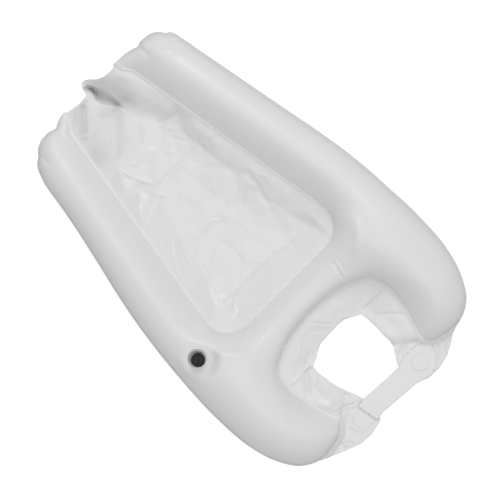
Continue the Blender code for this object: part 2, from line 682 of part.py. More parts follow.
def collar_height(x, y, from_seam):
    """Height of the collar: flat in the weld, then down towards the hole and the flaps."""
    from_weld = max(from_seam - WELD_REACH, 0)
    low_y = HORN_SHOULDER_Y - HORN_TIP_DEPTH / 2
    share = min(max((HORN_SHOULDER_Y - y) / (HORN_SHOULDER_Y - low_y), 0), 1)
    run = COLLAR_RUN + (FLAP_RUN - COLLAR_RUN) * share
    drop = COLLAR_DROP + (FLAP_DROP - COLLAR_DROP) * share
    fall = min(from_weld / run, 1)
    return SEAM_HEIGHT - drop * fall + collar_fold(x, y) * fall * (1 - share)


def collar_outline():
    """The seam that the collar is welded to, its normals, and the collar's whole edge as a closed loop."""
    _, _, tip, ring = seam_stretches(CHAMBER_STEP)
    seam, normals = seam_run(len(tip) + len(ring) - 2, 0, CHAMBER_STEP)
    welded = seam + normals * GAP
    weld_ends = seam + normals * WELD_REACH
    gap_half = FLAP_GAP / 2
    flap_width = welded[0][0] - gap_half
    flap = [(gap_half + flap_width * x, HORN_END_Y - FLAP_REACH * y) for x, y in FLAP_SHARES]
    hole = [(HOLE_WIDTH / 2 * x, HOLE_TOP_Y - HOLE_LENGTH * y) for x, y in HOLE_SHARES]
    flap = resample(smooth_curve(flap, CURVE_STEPS), COLLAR_STEP)
    hole = resample(smooth_curve(hole, CURVE_STEPS), COLLAR_STEP)
    outline = np.vstack((welded, weld_ends[-1:], mirrored(flap)[::-1], mirrored(hole), hole[1:], flap[::-1],
                         weld_ends[:1]))
    return seam, normals, outline


def flap_seats():
    """Flat places on both flaps, under the strap's root and under the loop patch."""
    right = rounded_outline(ROOT_CENTRE, ROOT_LENGTH + 2 * SEAT_MARGIN, ROOT_WIDTH + 2 * SEAT_MARGIN,
                            ROOT_CORNER_RADIUS + SEAT_MARGIN, ROUND_SEGMENTS // 2)
    left = right.copy()
    left[:, 0] = -left[:, 0]
    return right, left


def make_collar(film, collection):
    seam, normals, outline = collar_outline()
    weld_row = seam + normals * WELD_REACH
    seats = [seat[inside(seat, outline)] for seat in flap_seats()]
    inner = lattice(outline, COLLAR_STEP)
    inner = inner[distance_to(inner, outline, True) > COLLAR_STEP / 2]
    taken = list(outline) + list(weld_row) + [point for seat in seats for point in seat]
    extra = thinned(inner, taken, COLLAR_STEP * 0.62)
    flat, faces = triangulate(outline, [weld_row], seats, extra, [])
    from_seam = distance_to(flat, chamber_seam(CHAMBER_STEP), True)
    heights = np.array([collar_height(x, y, d) for (x, y), d in zip(flat, from_seam)])
    for seat in seats:
        heights[inside(flat, seat) | (distance_to(flat, seat, True) < GAP)] = FLAP_HEIGHT
    points = np.column_stack((flat, heights))
    points, faces = used_only(points, facing(points, faces, True))
    return film_object("neck_collar", points, faces, FILM_THICKNESS, 0, film, collection)


# The closure strap

def flat_piece(name, outline, lines, height, thickness, material, collection, origin):
    """A sheet piece that stands on the surface given by a height for each x."""
    flat, faces = triangulate(outline, lines, [], [], [])
    points = [(x, y, height(x)) for x, y in flat]
    points, faces = used_only(points, facing(points, faces, True))
    return film_object(name, points, faces, thickness, 1, material, collection, origin)


def strap_height(x):
    """Underside of the strap: on the right flap, over the gap, then up onto the hook and loop patches."""
    ramp_end = -(STRAP_REACH - HOOK_PATCH_INSET - HOOK_PATCH_LENGTH)
    share = (ramp_end + STRAP_RAMP_LENGTH - x) / STRAP_RAMP_LENGTH
    return STRAP_BASE + 2 * PATCH_LIFT * min(max(share, 0), 1)


def strap_end_x(y):
    """The strap's free end, which is cut at a slant."""
    return -STRAP_REACH + STRAP_END_SLANT * (STRAP_Y + STRAP_WIDTH / 2 - y) / STRAP_WIDTH


def strap_outline():
    """The band from its hinge line to its free end, whose corners are round."""
    right = STRAP_HINGE_REACH - GAP
    length = right + STRAP_REACH
    centre = ((right - STRAP_REACH) / 2, STRAP_Y)
    loop = rounded_outline(centre, length, STRAP_WIDTH, STRAP_CORNER_RADIUS, ROUND_SEGMENTS)
    left = loop[loop[:, 0] < centre[0]]
    left[:, 0] += strap_end_x(left[:, 1]) + STRAP_REACH
    return np.vstack(((right, STRAP_Y + STRAP_WIDTH / 2), left, (right, STRAP_Y - STRAP_WIDTH / 2)))


def hook_patch_outline():
    """A patch that ends square over the loop patch and follows the strap's slanted end."""
    right = HOOK_PATCH_INSET + HOOK_PATCH_LENGTH - STRAP_REACH
    top = STRAP_Y + HOOK_PATCH_WIDTH / 2
    bottom = STRAP_Y - HOOK_PATCH_WIDTH / 2
    return np.array(((right, bottom), (right, top), (strap_end_x(top) + HOOK_PATCH_INSET, top),
                     (strap_end_x(bottom) + HOOK_PATCH_INSET, bottom)))


def make_strap(film, fastener, collection):
    ramp_end = -(STRAP_REACH - HOOK_PATCH_INSET - HOOK_PATCH_LENGTH)
    half = STRAP_WIDTH / 2 - GAP
    bends = [[(x, STRAP_Y - half), (x, STRAP_Y + half)] for x in (ramp_end, ramp_end + STRAP_RAMP_LENGTH)]
    strap = flat_piece("neck_strap", strap_outline(), bends, strap_height, STRAP_THICKNESS, film, collection,
                       STRAP_AXIS)
    root = rounded_outline(ROOT_CENTRE, ROOT_LENGTH, ROOT_WIDTH, ROOT_CORNER_RADIUS, ROUND_SEGMENTS)
    flat_piece("strap_root", root, [], lambda x: STRAP_BASE, STRAP_THICKNESS, film, collection, (0, 0, 0))
    disc = circle((ROOT_CENTRE[0] + SEAT_MARGIN, STRAP_Y), WELD_DISC_DIAMETER / 2, ROUND_SEGMENTS)
    disc_base = STRAP_BASE + STRAP_THICKNESS + GAP
    flat_piece("strap_weld_disc", disc, [], lambda x: disc_base, WELD_DISC_THICKNESS, film, collection,
               (0, 0, 0))
    hook_x = HOOK_PATCH_INSET + HOOK_PATCH_LENGTH / 2 - STRAP_REACH
    hook_base = STRAP_BASE + PATCH_LIFT
    hook_patch = flat_piece("hook_patch", hook_patch_outline(), [], lambda x: hook_base, PATCH_THICKNESS,
                            fastener, collection, (hook_x, STRAP_Y, hook_base))
    hook_patch.parent = strap
    hook_patch.matrix_parent_inverse.translation = [-c for c in STRAP_AXIS]
    loop_x = -(FLAP_GAP / 2 + LOOP_PATCH_INSET + LOOP_PATCH_LENGTH / 2)
    loop = rounded_outline((loop_x, STRAP_Y), LOOP_PATCH_LENGTH, LOOP_PATCH_WIDTH, PATCH_CORNER_RADIUS,
                           ROUND_SEGMENTS)
    flat_piece("loop_patch", loop, [], lambda x: STRAP_BASE, PATCH_THICKNESS, fastener, collection, (0, 0, 0))
    return strap


# The air valve

def valve_axis_empty(pad_height, collection):
    """The valve's axis, standing on the flat place of the skin."""
    axis = bpy.data.objects.new("valve_axis", None)
    axis.location = (*VALVE_CENTRE, pad_height)
    collection.objects.link(axis)
    return axis


def turned(name, profile, height, material, collection, axis):
    """A body turned about the valve's axis from a profile of radius and height above the given height."""
    mesh = bpy.data.meshes.new(name)
    points = [(r, 0.0, z) for r, z in profile]
    count = len(points)
    on_axis = profile[0][0] == 0 and profile[-1][0] == 0
    closed = [(i, (i + 1) % count) for i in range(count)]
    edges = closed[:-1] if on_axis else closed
    mesh.from_pydata(points, edges, [])
    body = bpy.data.objects.new(name, mesh)
    body.parent = axis
    body.location = (0.0, 0.0, height)
    collection.objects.link(body)
    mesh.materials.append(material)
    spin = body.modifiers.new("Turn", "SCREW")
    spin.steps = ROUND_SEGMENTS
    spin.render_steps = ROUND_SEGMENTS
    spin.use_merge_vertices = True
    spin.merge_threshold = MERGE_DISTANCE
    spin.use_smooth_shade = False
    return body


def as_cutter(body):
    body.hide_render = True
    body.display_type = "WIRE"


def box_cutter(name, centre, size, turn, collection, axis):
    mesh = bpy.data.meshes.new(name)
    shape = bmesh.new()
    bmesh.ops.create_cube(shape, size=1.0)
    bmesh.ops.scale(shape, vec=size, verts=shape.verts)
    shape.to_mesh(mesh)
    shape.free()
    box = bpy.data.objects.new(name, mesh)
    box.parent = axis
    box.location = centre
    box.rotation_euler.z = turn
    as_cutter(box)
    collection.objects.link(box)
    return box


def boolean(body, other, operation):
    join = body.modifiers.new(other.name, "BOOLEAN")
    join.operation = operation
    join.solver = "EXACT"
    join.object = other


def make_valve_flange(axis, clear_vinyl, collection):
    """A soft disc welded under the skin, with the neck that stands up through the skin's hole."""
    outer = VALVE_FLANGE_DIAMETER / 2
    neck = VALVE_NECK_DIAMETER / 2
    bore = neck - VALVE_NECK_WALL
    top = -SKIN_THICKNESS - GAP
    under = top - VALVE_FLANGE_THICKNESS
    profile = [(bore, VALVE_NECK_HEIGHT), (neck, VALVE_NECK_HEIGHT), (neck, top), (outer, top),
               (outer, under), (neck, under), (neck, -VALVE_NECK_DEPTH), (bore, -VALVE_NECK_DEPTH)]
    return turned("valve_flange", profile, 0, clear_vinyl, collection, axis)


def make_valve_seat(axis, black_plastic, parts, cutters):
    """A hard insert held in the neck: a boss for the cap, a throat, and a spoked web over the check flap."""
    bore = VALVE_NECK_DIAMETER / 2 - VALVE_NECK_WALL
    plug = bore - GAP
    boss = CAP_DIAMETER / 2 - CAP_WALL - GAP
    throat = SEAT_THROAT_DIAMETER / 2
    rest = VALVE_NECK_HEIGHT + GAP
    bottom = CHECK_FLAP_THICKNESS + GAP - VALVE_NECK_DEPTH
    profile = [(throat, rest + SEAT_BOSS_HEIGHT), (boss, rest + SEAT_BOSS_HEIGHT), (boss, rest), (plug, rest),
               (plug, bottom), (throat, bottom)]
    seat = turned("valve_seat", profile, 0, black_plastic, parts, axis)
    web_height = bottom + SEAT_WEB_THICKNESS / 2
    reach = throat + OVERRUN
    for index in range(SEAT_SPOKE_COUNT):
        turn = 2 * math.pi * index / SEAT_SPOKE_COUNT
        middle = (reach / 2 * math.cos(turn), reach / 2 * math.sin(turn), web_height)
        spoke = box_cutter(f"seat_spoke_{index}", middle, (reach, SEAT_SPOKE_WIDTH, SEAT_WEB_THICKNESS), turn,
                           cutters, axis)
        boolean(seat, spoke, "UNION")
    hub = SEAT_HUB_DIAMETER / 2
    half = SEAT_WEB_THICKNESS / 2
    hub_profile = [(0.0, half), (hub, half), (hub, -half), (0.0, -half)]
    hub_body = turned("seat_hub", hub_profile, web_height, black_plastic, cutters, axis)
    as_cutter(hub_body)
    boolean(seat, hub_body, "UNION")
    return seat


def make_check_flap(axis, silicone, collection):
    """A soft disc that closes the throat from inside, with its origin on its hinge at the +X edge."""
    radius = SEAT_THROAT_DIAMETER / 2 + CHECK_FLAP_LAP
    base = axis.location.z - VALVE_NECK_DEPTH
    hinge = Vector((VALVE_CENTRE[0] + radius, VALVE_CENTRE[1], base + CHECK_FLAP_THICKNESS))
    flap = flat_piece("check_flap", circle(VALVE_CENTRE, radius, ROUND_SEGMENTS), [], lambda x: base,
                      CHECK_FLAP_THICKNESS, silicone, collection, hinge)
    flap.parent = axis
    flap.location = hinge - axis.location
    return flap


def make_cap(axis, black_plastic, rubber, parts, cutters):
    """A screw cap with a dished top, a grip bar across it and fluted sides, and the gasket under it."""
    radius = CAP_DIAMETER / 2
    bore = radius - CAP_WALL
    base = VALVE_NECK_HEIGHT + GAP
    room = SEAT_BOSS_HEIGHT + GASKET_THICKNESS + 2 * GAP
    dish_floor = room + CAP_TOP_THICKNESS
    height = dish_floor + CAP_DISH_DEPTH
    dish = radius - CAP_RIM_WIDTH
    profile = [(0.0, dish_floor), (dish, dish_floor), (dish, height - CAP_BEVEL), (dish + CAP_BEVEL, height),
               (radius - CAP_BEVEL, height), (radius, height - CAP_BEVEL), (radius, 0.0), (bore, 0.0),
               (bore, room), (0.0, room)]
    cap = turned("valve_cap", profile, base, black_plastic, parts, axis)
    grip = box_cutter("cap_grip", (0, 0, base + height - CAP_DISH_DEPTH / 2 - CAP_BEVEL),
                      (2 * dish + CAP_RIM_WIDTH, CAP_GRIP_WIDTH, CAP_DISH_DEPTH), math.pi / 4, cutters, axis)
    boolean(cap, grip, "UNION")
    for index in range(CAP_FLUTE_COUNT):
        angle = 2 * math.pi * (index + 0.5) / CAP_FLUTE_COUNT
        place = (radius * math.cos(angle), radius * math.sin(angle), base + height / 2 - CAP_RIM_WIDTH)
        flute = box_cutter(f"cap_flute_{index:02d}", place,
                           (CAP_FLUTE_DIAMETER / 2, CAP_FLUTE_DIAMETER, height), angle, cutters, axis)
        boolean(cap, flute, "DIFFERENCE")
    gasket_outer = bore - GAP
    gasket_inner = gasket_outer - GASKET_WIDTH
    ring = [(gasket_inner, GASKET_THICKNESS), (gasket_outer, GASKET_THICKNESS), (gasket_outer, 0.0),
            (gasket_inner, 0.0)]
    turned("cap_gasket", ring, base + SEAT_BOSS_HEIGHT + GAP, rubber, parts, axis)
    return cap


def main():
    clear_scene()
    parts, cutters = make_collections()
    vinyl = plain_material("white_vinyl", (0.80, 0.80, 0.80), 0.40, 1.0)
    film = plain_material("thin_vinyl_film", (0.82, 0.82, 0.82), 0.35, 1.0)
    clear_vinyl = plain_material("clear_vinyl", (0.85, 0.86, 0.86), 0.20, 0.5)
    fastener = plain_material("hook_and_loop", (0.84, 0.84, 0.83), 0.90, 1.0)
    black_plastic = plain_material("black_plastic", (0.02, 0.02, 0.02), 0.35, 1.0)
    rubber = plain_material("black_rubber", (0.03, 0.03, 0.03), 0.80, 1.0)
    silicone = plain_material("silicone", (0.70, 0.70, 0.70), 0.50, 1.0)
    chamber = chamber_sheet()
    make_skins(chamber, vinyl, parts)
    make_liner(film, parts)
    make_collar(film, parts)
    make_strap(film, fastener, parts)
    axis = valve_axis_empty(chamber[-1], parts)
    make_valve_flange(axis, clear_vinyl, parts)
    make_valve_seat(axis, black_plastic, parts, cutters)
    make_check_flap(axis, silicone, parts)
    make_cap(axis, black_plastic, rubber, parts, cutters)


main()
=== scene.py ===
"""Looks of the inflatable shampoo basin: satin vinyl tubes, thin film tray and collar, strap and valve.

Metres, +Z up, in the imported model's frame: spout at +Y, neck ring at -Y, valve on the -X arm.
"""
import math

import bpy
import numpy as np
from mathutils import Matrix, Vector, noise
from mathutils.geometry import delaunay_2d_cdt


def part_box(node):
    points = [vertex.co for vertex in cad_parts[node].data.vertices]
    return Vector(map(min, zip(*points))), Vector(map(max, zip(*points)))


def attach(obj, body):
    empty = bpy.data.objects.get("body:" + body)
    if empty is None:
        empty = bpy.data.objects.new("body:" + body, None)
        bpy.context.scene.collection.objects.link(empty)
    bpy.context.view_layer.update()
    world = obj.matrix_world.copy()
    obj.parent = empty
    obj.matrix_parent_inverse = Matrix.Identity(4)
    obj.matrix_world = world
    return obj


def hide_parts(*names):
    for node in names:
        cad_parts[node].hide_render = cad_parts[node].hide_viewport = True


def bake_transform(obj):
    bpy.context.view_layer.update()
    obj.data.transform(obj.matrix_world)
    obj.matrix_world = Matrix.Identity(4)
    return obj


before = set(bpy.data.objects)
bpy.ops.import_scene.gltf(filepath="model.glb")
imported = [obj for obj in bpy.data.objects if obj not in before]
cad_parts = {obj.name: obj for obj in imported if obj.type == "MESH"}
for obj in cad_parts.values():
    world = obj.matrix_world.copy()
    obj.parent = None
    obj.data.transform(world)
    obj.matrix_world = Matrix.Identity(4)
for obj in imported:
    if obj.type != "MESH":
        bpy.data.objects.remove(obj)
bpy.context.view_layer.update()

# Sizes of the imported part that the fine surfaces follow
CHAMBER_WIDTH = 0.444
CHAMBER_LENGTH = 0.661
SEAM_HEIGHT = 0.040
WELD_WIDTH = 0.003
SKIN_THICKNESS = 0.0006
FILM_THICKNESS = 0.0005
GAP = 0.0003
TROUGH_LENGTH = 0.431
TROUGH_SPOUT_WIDTH = 0.134
TROUGH_NECK_WIDTH = 0.275
TROUGH_CORNER_RADIUS = 0.040
FLOOR_HEIGHT = 0.00175
BEAK_REACH = 0.020
ARM_END_DEPTH = 0.031
ARM_SHOULDER_WIDTH = 0.304
BAR_WIDTH = 0.055
RING_WIDTH = 0.228
RING_LENGTH = 0.153
HORN_TIP_DEPTH = 0.046
HORN_SHOULDER_WIDTH = 0.406
FLAP_REACH = 0.032
CURVE_STEPS = 10
STRAIGHT_STEP = 0.021

SPOUT_TIP_Y = (BEAK_REACH + CHAMBER_LENGTH + FLAP_REACH) / 2
ARM_END_Y = SPOUT_TIP_Y - BEAK_REACH
HORN_END_Y = ARM_END_Y - CHAMBER_LENGTH
TROUGH_END_Y = ARM_END_Y - TROUGH_LENGTH
RING_TOP_Y = TROUGH_END_Y - BAR_WIDTH
HORN_SHOULDER_Y = HORN_END_Y + HORN_TIP_DEPTH
SKIN_OFFSET = FILM_THICKNESS / 2 + GAP + SKIN_THICKNESS
WELD_REACH = WELD_WIDTH + GAP

# Knots of the seam's curves, as shares of the sizes above: across, then along
SIDE_SHARES = ((0.738, 0.1), (0.832, 0.297), (0.931, 0.487), (0.982, 0.649), (1, 0.817), (0.979, 0.919))
ARM_END_SHARES = ((-0.04, 0.62), (-0.17, 0.1), (0.15, 0), (0.45, 0.06), (0.7, 0.18), (0.9, 0.48))
HORN_TIP_SHARES = ((0.80, 0.70), (0.54, 1.0), (0.295, 0.97), (0.094, 0.81))
RING_SHARES = ((0.82, 1), (0.862, 0.876), (0.959, 0.629), (1, 0.402), (0.917, 0.196), (0.634, 0.072),
               (0.303, 0.016))

# The photograph's frame: metres to a pixel at the weld's height, and where the camera looks
PIXEL = 0.0015734
PIXEL_ARM_END = 130.0
PIXEL_MIDDLE = 0.5
PHOTO_SIDE = 500
CAMERA_DISTANCE = 3.0
LOOK_AT = (-0.0008, -0.0152)


def photo(x, y, z=SEAM_HEIGHT):
    """The plan place that the photograph shows at a pixel, for a surface at the given height."""
    across = (x - y) / math.sqrt(2)
    along = (x + y) / math.sqrt(2)
    place = np.array(((across - PIXEL_MIDDLE) * PIXEL, ARM_END_Y - (along - PIXEL_ARM_END) * PIXEL))
    nearer = (CAMERA_DISTANCE - (z - SEAM_HEIGHT)) / CAMERA_DISTANCE
    return np.array(LOOK_AT) + (place - LOOK_AT) * nearer


def eased(share):
    """A share held between 0 and 1, with a soft start and a soft end."""
    share = np.clip(share, 0, 1)
    return share ** 2 * (3 - 2 * share)


# Plan curves, as in the part

def smooth_curve(points):
    """A curve through the points, with slopes that follow the spans on both sides."""
    points = np.asarray(points, float)
    spans = np.linalg.norm(np.diff(points, axis=0), axis=1)
    slopes = np.diff(points, axis=0) / spans[:, None]
    tangents = np.empty_like(points)
    tangents[0], tangents[-1] = slopes[0], slopes[-1]
    weight = (spans[:-1] / (spans[:-1] + spans[1:]))[:, None]
    tangents[1:-1] = slopes[:-1] * (1 - weight) + slopes[1:] * weight
    curve = []
    for index, span in enumerate(spans):
        start, end = points[index], points[index + 1]
        for t in np.arange(CURVE_STEPS) / CURVE_STEPS:
            curve.append(start * (2 * t ** 3 - 3 * t ** 2 + 1)
                         + tangents[index] * span * (t ** 3 - 2 * t ** 2 + t)
                         + end * (3 * t ** 2 - 2 * t ** 3)
                         + tangents[index + 1] * span * (t ** 3 - t ** 2))
    curve.append(points[-1])
    return np.array(curve)


def run_lengths(points):
    """The distance along a line to each of its points."""
    return np.concatenate(([0.0], np.cumsum(np.linalg.norm(np.diff(points, axis=0), axis=1))))


def resample(points, step):
    points = np.asarray(points, float)
    length = run_lengths(points)
    count = max(1, round(length[-1] / step))
    places = np.linspace(0.0, length[-1], count + 1)
    return np.column_stack([np.interp(places, length, points[:, axis]) for axis in range(points.shape[1])])


def mirrored(points):
    points = np.asarray(points, float)[::-1].copy()
    points[:, 0] = -points[:, 0]
    return points


def trough_seam_x(y):
    share = (ARM_END_Y - y) / TROUGH_LENGTH
    return (TROUGH_SPOUT_WIDTH + (TROUGH_NECK_WIDTH - TROUGH_SPOUT_WIDTH) * share) / 2


def trough_corner():
    lean = math.atan2((TROUGH_NECK_WIDTH - TROUGH_SPOUT_WIDTH) / 2, TROUGH_LENGTH)
    turn = math.pi / 2 + lean
    reach = TROUGH_CORNER_RADIUS / math.tan((math.pi - turn) / 2)
    centre = np.array((TROUGH_NECK_WIDTH / 2 - reach, TROUGH_END_Y + TROUGH_CORNER_RADIUS))
    angles = np.linspace(-math.pi / 2, -math.pi / 2 + turn, CURVE_STEPS)
    return [centre + TROUGH_CORNER_RADIUS * np.array((math.cos(a), math.sin(a))) for a in angles]


def seam_stretches(step):
    """The right half of the chamber's seam: trough side, outer side, horn tip and neck ring."""
    shoulder_y = ARM_END_Y - ARM_END_DEPTH
    inner_x = trough_seam_x(shoulder_y)
    arm_width = ARM_SHOULDER_WIDTH / 2 - inner_x
    arm_end = [(inner_x + arm_width * x, ARM_END_Y - ARM_END_DEPTH * y) for x, y in ARM_END_SHARES]
    side_length = shoulder_y - HORN_SHOULDER_Y
    side = [(CHAMBER_WIDTH / 2 * x, shoulder_y - side_length * y) for x, y in SIDE_SHARES]
    horn_inner_x = RING_WIDTH / 2 * RING_SHARES[0][0]
    horn_width = HORN_SHOULDER_WIDTH / 2 - horn_inner_x
    tip = [(horn_inner_x + horn_width * x, HORN_SHOULDER_Y - HORN_TIP_DEPTH * y)
           for x, y in HORN_TIP_SHARES]
    ring = [(RING_WIDTH / 2 * x, RING_TOP_Y - RING_LENGTH * y) for x, y in RING_SHARES]
    ring.append((0.0, RING_TOP_Y))
    straight_end_y = shoulder_y - ARM_END_DEPTH / 2
    straight = resample([trough_corner()[-1], (trough_seam_x(straight_end_y), straight_end_y)], STRAIGHT_STEP)
    knots = [straight[-2], straight[-1]] + arm_end + [(ARM_SHOULDER_WIDTH / 2, shoulder_y)] + side
    knots += [(HORN_SHOULDER_WIDTH / 2, HORN_SHOULDER_Y)] + tip + ring + [(-ring[-2][0], ring[-2][1])]
    curve = smooth_curve(knots)
    arm_tip = 3 * CURVE_STEPS
    ring_start = (len(knots) - 1 - len(ring)) * CURVE_STEPS
    ring_end = (len(knots) - 2) * CURVE_STEPS
    collar_start = ring_start - (len(tip) - 1) * CURVE_STEPS
    trough = [(0.0, TROUGH_END_Y)] + trough_corner() + list(straight[1:-1])
    trough += list(curve[CURVE_STEPS:arm_tip + 1])
    stops = (arm_tip, collar_start, ring_start, ring_end)
    return [resample(trough, step)] + [resample(curve[a:b + 1], step) for a, b in zip(stops, stops[1:])]


def unit(vectors):
    return vectors / np.linalg.norm(vectors, axis=1)[:, None]


def loop_normals(loop):
    along = unit(unit(np.roll(loop, -1, axis=0) - loop) + unit(loop - np.roll(loop, 1, axis=0)))
    return np.column_stack((-along[:, 1], along[:, 0]))


# Outer edge of the weld where the arms' ends pucker and along their outer sides, in pixels, how near to
# it the seam has to be to follow it, and how it fades out towards its end
RIGHT_EDGE = ((112, 67.8), (115, 63.3), (118, 60.2), (124, 54.6), (130, 50.6), (136, 47.2), (138.6, 45.8),
              (139.2, 43.2), (142, 39.6), (145, 37.2), (148, 35), (151, 33.2), (155, 32.2), (160, 31.8),
              (164, 32.6), (166.6, 33.5), (168.6, 32.3), (172, 32.3), (175, 33.4), (178, 35.2), (184, 39.4),
              (190, 43.2), (196, 47.7), (208.3, 56), (243.4, 80), (278.5, 104), (314, 128), (331.1, 140),
              (347.2, 152), (362.1, 164), (376.2, 176), (389.2, 188), (402.6, 200))
LEFT_EDGE = ((65.6, 112), (61.5, 116), (59, 119.5), (57.6, 123.5), (56.2, 127.6), (55, 128.8), (52, 130.2),
             (46.4, 134), (44, 137), (41.2, 140), (39.9, 143), (38.6, 146), (38, 150), (38, 152.5),
             (38.8, 155.3), (38, 158), (37.3, 161), (37.2, 165), (38.2, 170), (39.8, 174), (44.8, 184),
             (53, 196), (61.8, 208), (78.1, 232), (93.4, 256), (116.4, 293))
EDGE_STEP = 0.0008
EDGE_REACH = 0.010
EDGE_FADE = 0.030
SEAM_STEP = 0.0036


def to_edge(seam, outward):
    """The seam moved so that the weld's outer edge lies on the photographed one, where that is near."""
    for pixels in (RIGHT_EDGE, LEFT_EDGE):
        edge = resample(smooth_curve([photo(x, y) for x, y in pixels]), EDGE_STEP)
        rim = seam + outward * WELD_WIDTH
        gap = np.linalg.norm(rim[:, None, :] - edge[None, :, :], axis=2)
        nearest = gap.argmin(axis=1)
        near = (gap.min(axis=1) < EDGE_REACH) & (nearest > 0) & (nearest < len(edge) - 1)
        share = near * np.clip((len(edge) - nearest) * EDGE_STEP / EDGE_FADE, 0, 1)
        seam = seam + (edge[nearest] - rim) * share[:, None]
    return seam


SEAM_PARTS = seam_stretches(SEAM_STEP)
SEAM_RIGHT = np.vstack([SEAM_PARTS[0]] + [p[1:] for p in SEAM_PARTS[1:]])[::-1]
SEAM = np.vstack((SEAM_RIGHT, mirrored(SEAM_RIGHT)[1:-1]))
SEAM = to_edge(SEAM, -loop_normals(SEAM))
OUTWARD = -loop_normals(SEAM)


def seam_run(first, last):
    """The seam from a right-hand point through the middle to the left, with normals off the chamber."""
    places = list(range(first, last, 1 if last > first else -1)) + [last]
    run = places + [(len(SEAM) - place) % len(SEAM) for place in places[-2::-1]]
    return SEAM[run], OUTWARD[run]


# Plan tests and meshes

CHUNK = 1500


def in_chunks(points, work):
    """The work done on a few points at a time, which saves memory."""
    return np.concatenate([work(points[i:i + CHUNK]) for i in range(0, len(points), CHUNK)])


def distance_to(points, line, closed):
    start = np.asarray(line, float)
    end = np.roll(start, -1, axis=0)
    if not closed:
        start, end = start[:-1], end[:-1]
    run = end - start
    length = np.maximum((run ** 2).sum(axis=1), 1e-14)

    def work(chunk):
        offset = chunk[:, None, :] - start[None, :, :]
        share = np.clip((offset * run).sum(axis=2) / length, 0, 1)
        return np.linalg.norm(offset - share[:, :, None] * run, axis=2).min(axis=1)
    return in_chunks(points, work)


def inside(points, loop):
    start = np.asarray(loop, float)
    end = np.roll(start, -1, axis=0)
    rise = np.where(end[:, 1] == start[:, 1], 1.0, end[:, 1] - start[:, 1])

    def work(chunk):
        x, y = chunk[:, 0:1], chunk[:, 1:2]
        crosses = (start[:, 1] > y) != (end[:, 1] > y)
        at_x = start[:, 0] + (y - start[:, 1]) * (end[:, 0] - start[:, 0]) / rise
        return (crosses & (x < at_x)).sum(axis=1) % 2 == 1
    return in_chunks(points, work)


def thinned(candidates, taken, least):
    """The candidates that keep clear of each other and of the points already taken."""
    cells = {}
    kept = []

    def cell(point):
        return int(point[0] // least), int(point[1] // least)
    for point in taken:
        cells.setdefault(cell(point), []).append(point)
    for point in candidates:
        column, row = cell(point)
        near = [q for i in (-1, 0, 1) for j in (-1, 0, 1) for q in cells.get((column + i, row + j), ())]
        if all((q[0] - point[0]) ** 2 + (q[1] - point[1]) ** 2 >= least ** 2 for q in near):
            cells.setdefault((column, row), []).append(point)
            kept.append(point)
    return kept


def lattice(loop, step):
    """A triangular grid of points inside the loop."""
    low, high = loop.min(axis=0), loop.max(axis=0)
    row_step = step * math.sqrt(3) / 2
    rows = np.arange(int((high[1] - low[1]) / row_step) + 1)
    columns = np.arange(int((high[0] - low[0]) / step) + 1)
    grid = np.array([(low[0] + step / 2 * (r % 2) + c * step, low[1] + r * row_step)
                     for r in rows for c in columns])
    return grid[inside(grid, loop)]


def triangulate(outline, loops, extra):
    """The plan's mesh inside an outline, with edges along the outline and the loops."""
    points = list(outline)
    edges = [(i, (i + 1) % len(outline)) for i in range(len(outline))]
    for loop in loops:
        first = len(points)
        points += list(loop)
        edges += [(first + i, first + (i + 1) % len(loop)) for i in range(len(loop))]
    points += list(extra)
    result = delaunay_2d_cdt([Vector(p[:2]) for p in points], edges, [], 0, 1e-7)
    flat = np.array([tuple(v) for v in result[0]])
    faces = np.array(result[2])
    return flat, faces[inside(flat[faces].mean(axis=1), outline)]


def double_areas(flat, faces):
    """Twice the area of each triangle of the plan, less than zero where it faces down."""
    a, b, c = (flat[faces[:, k]] for k in range(3))
    return (b[:, 0] - a[:, 0]) * (c[:, 1] - a[:, 1]) - (b[:, 1] - a[:, 1]) * (c[:, 0] - a[:, 0])


SOLVER_ROUNDS = 2000
SOLVER_SHARE = 1e-14


def poisson(flat, faces, fixed):
    """Stress function of an inflated sheet: its Laplacian is -2 and it is zero where it is fixed."""
    count = len(flat)
    a, b, c = (flat[faces[:, k]] for k in range(3))
    double = double_areas(flat, faces)
    slopes = np.stack((np.column_stack((b[:, 1] - c[:, 1], c[:, 0] - b[:, 0])),
                       np.column_stack((c[:, 1] - a[:, 1], a[:, 0] - c[:, 0])),
                       np.column_stack((a[:, 1] - b[:, 1], b[:, 0] - a[:, 0]))), axis=1)
    slopes /= double[:, None, None]
    area = np.abs(double) / 2
    load = np.bincount(faces.ravel(), np.repeat(2 * area / 3, 3), count)
    rows = np.repeat(faces, 3, axis=1).ravel()
    columns = np.tile(faces, (1, 3)).ravel()
    values = (np.einsum("nik,njk->nij", slopes, slopes) * area[:, None, None]).ravel()
    diagonal = np.bincount(rows[rows == columns], values[rows == columns], count)
    free = ~fixed

    def times(x):
        return np.where(free, np.bincount(rows, values * x[columns], count), 0)
    x = np.zeros(count)
    rest = np.where(free, load, 0)
    scaled = rest / diagonal
    step = scaled.copy()
    energy = rest @ scaled
    target = energy * SOLVER_SHARE
    for _ in range(SOLVER_ROUNDS):
        moved = times(step)
        share = energy / (step @ moved)
        x += share * step
        rest -= share * moved
        scaled = rest / diagonal
        fresh = rest @ scaled
        if fresh < target:
            break
        step = scaled + step * (fresh / energy)
        energy = fresh
    return np.maximum(x, 0)


def lifted(pixels):
    """Points in metres from the pixels of the photograph and heights in millimetres."""
    return [(*photo(x, y, z / 1000), z / 1000) for x, y, z in pixels]


EDGE_SLACK = 1e-6
ON_LINE = 1e-5


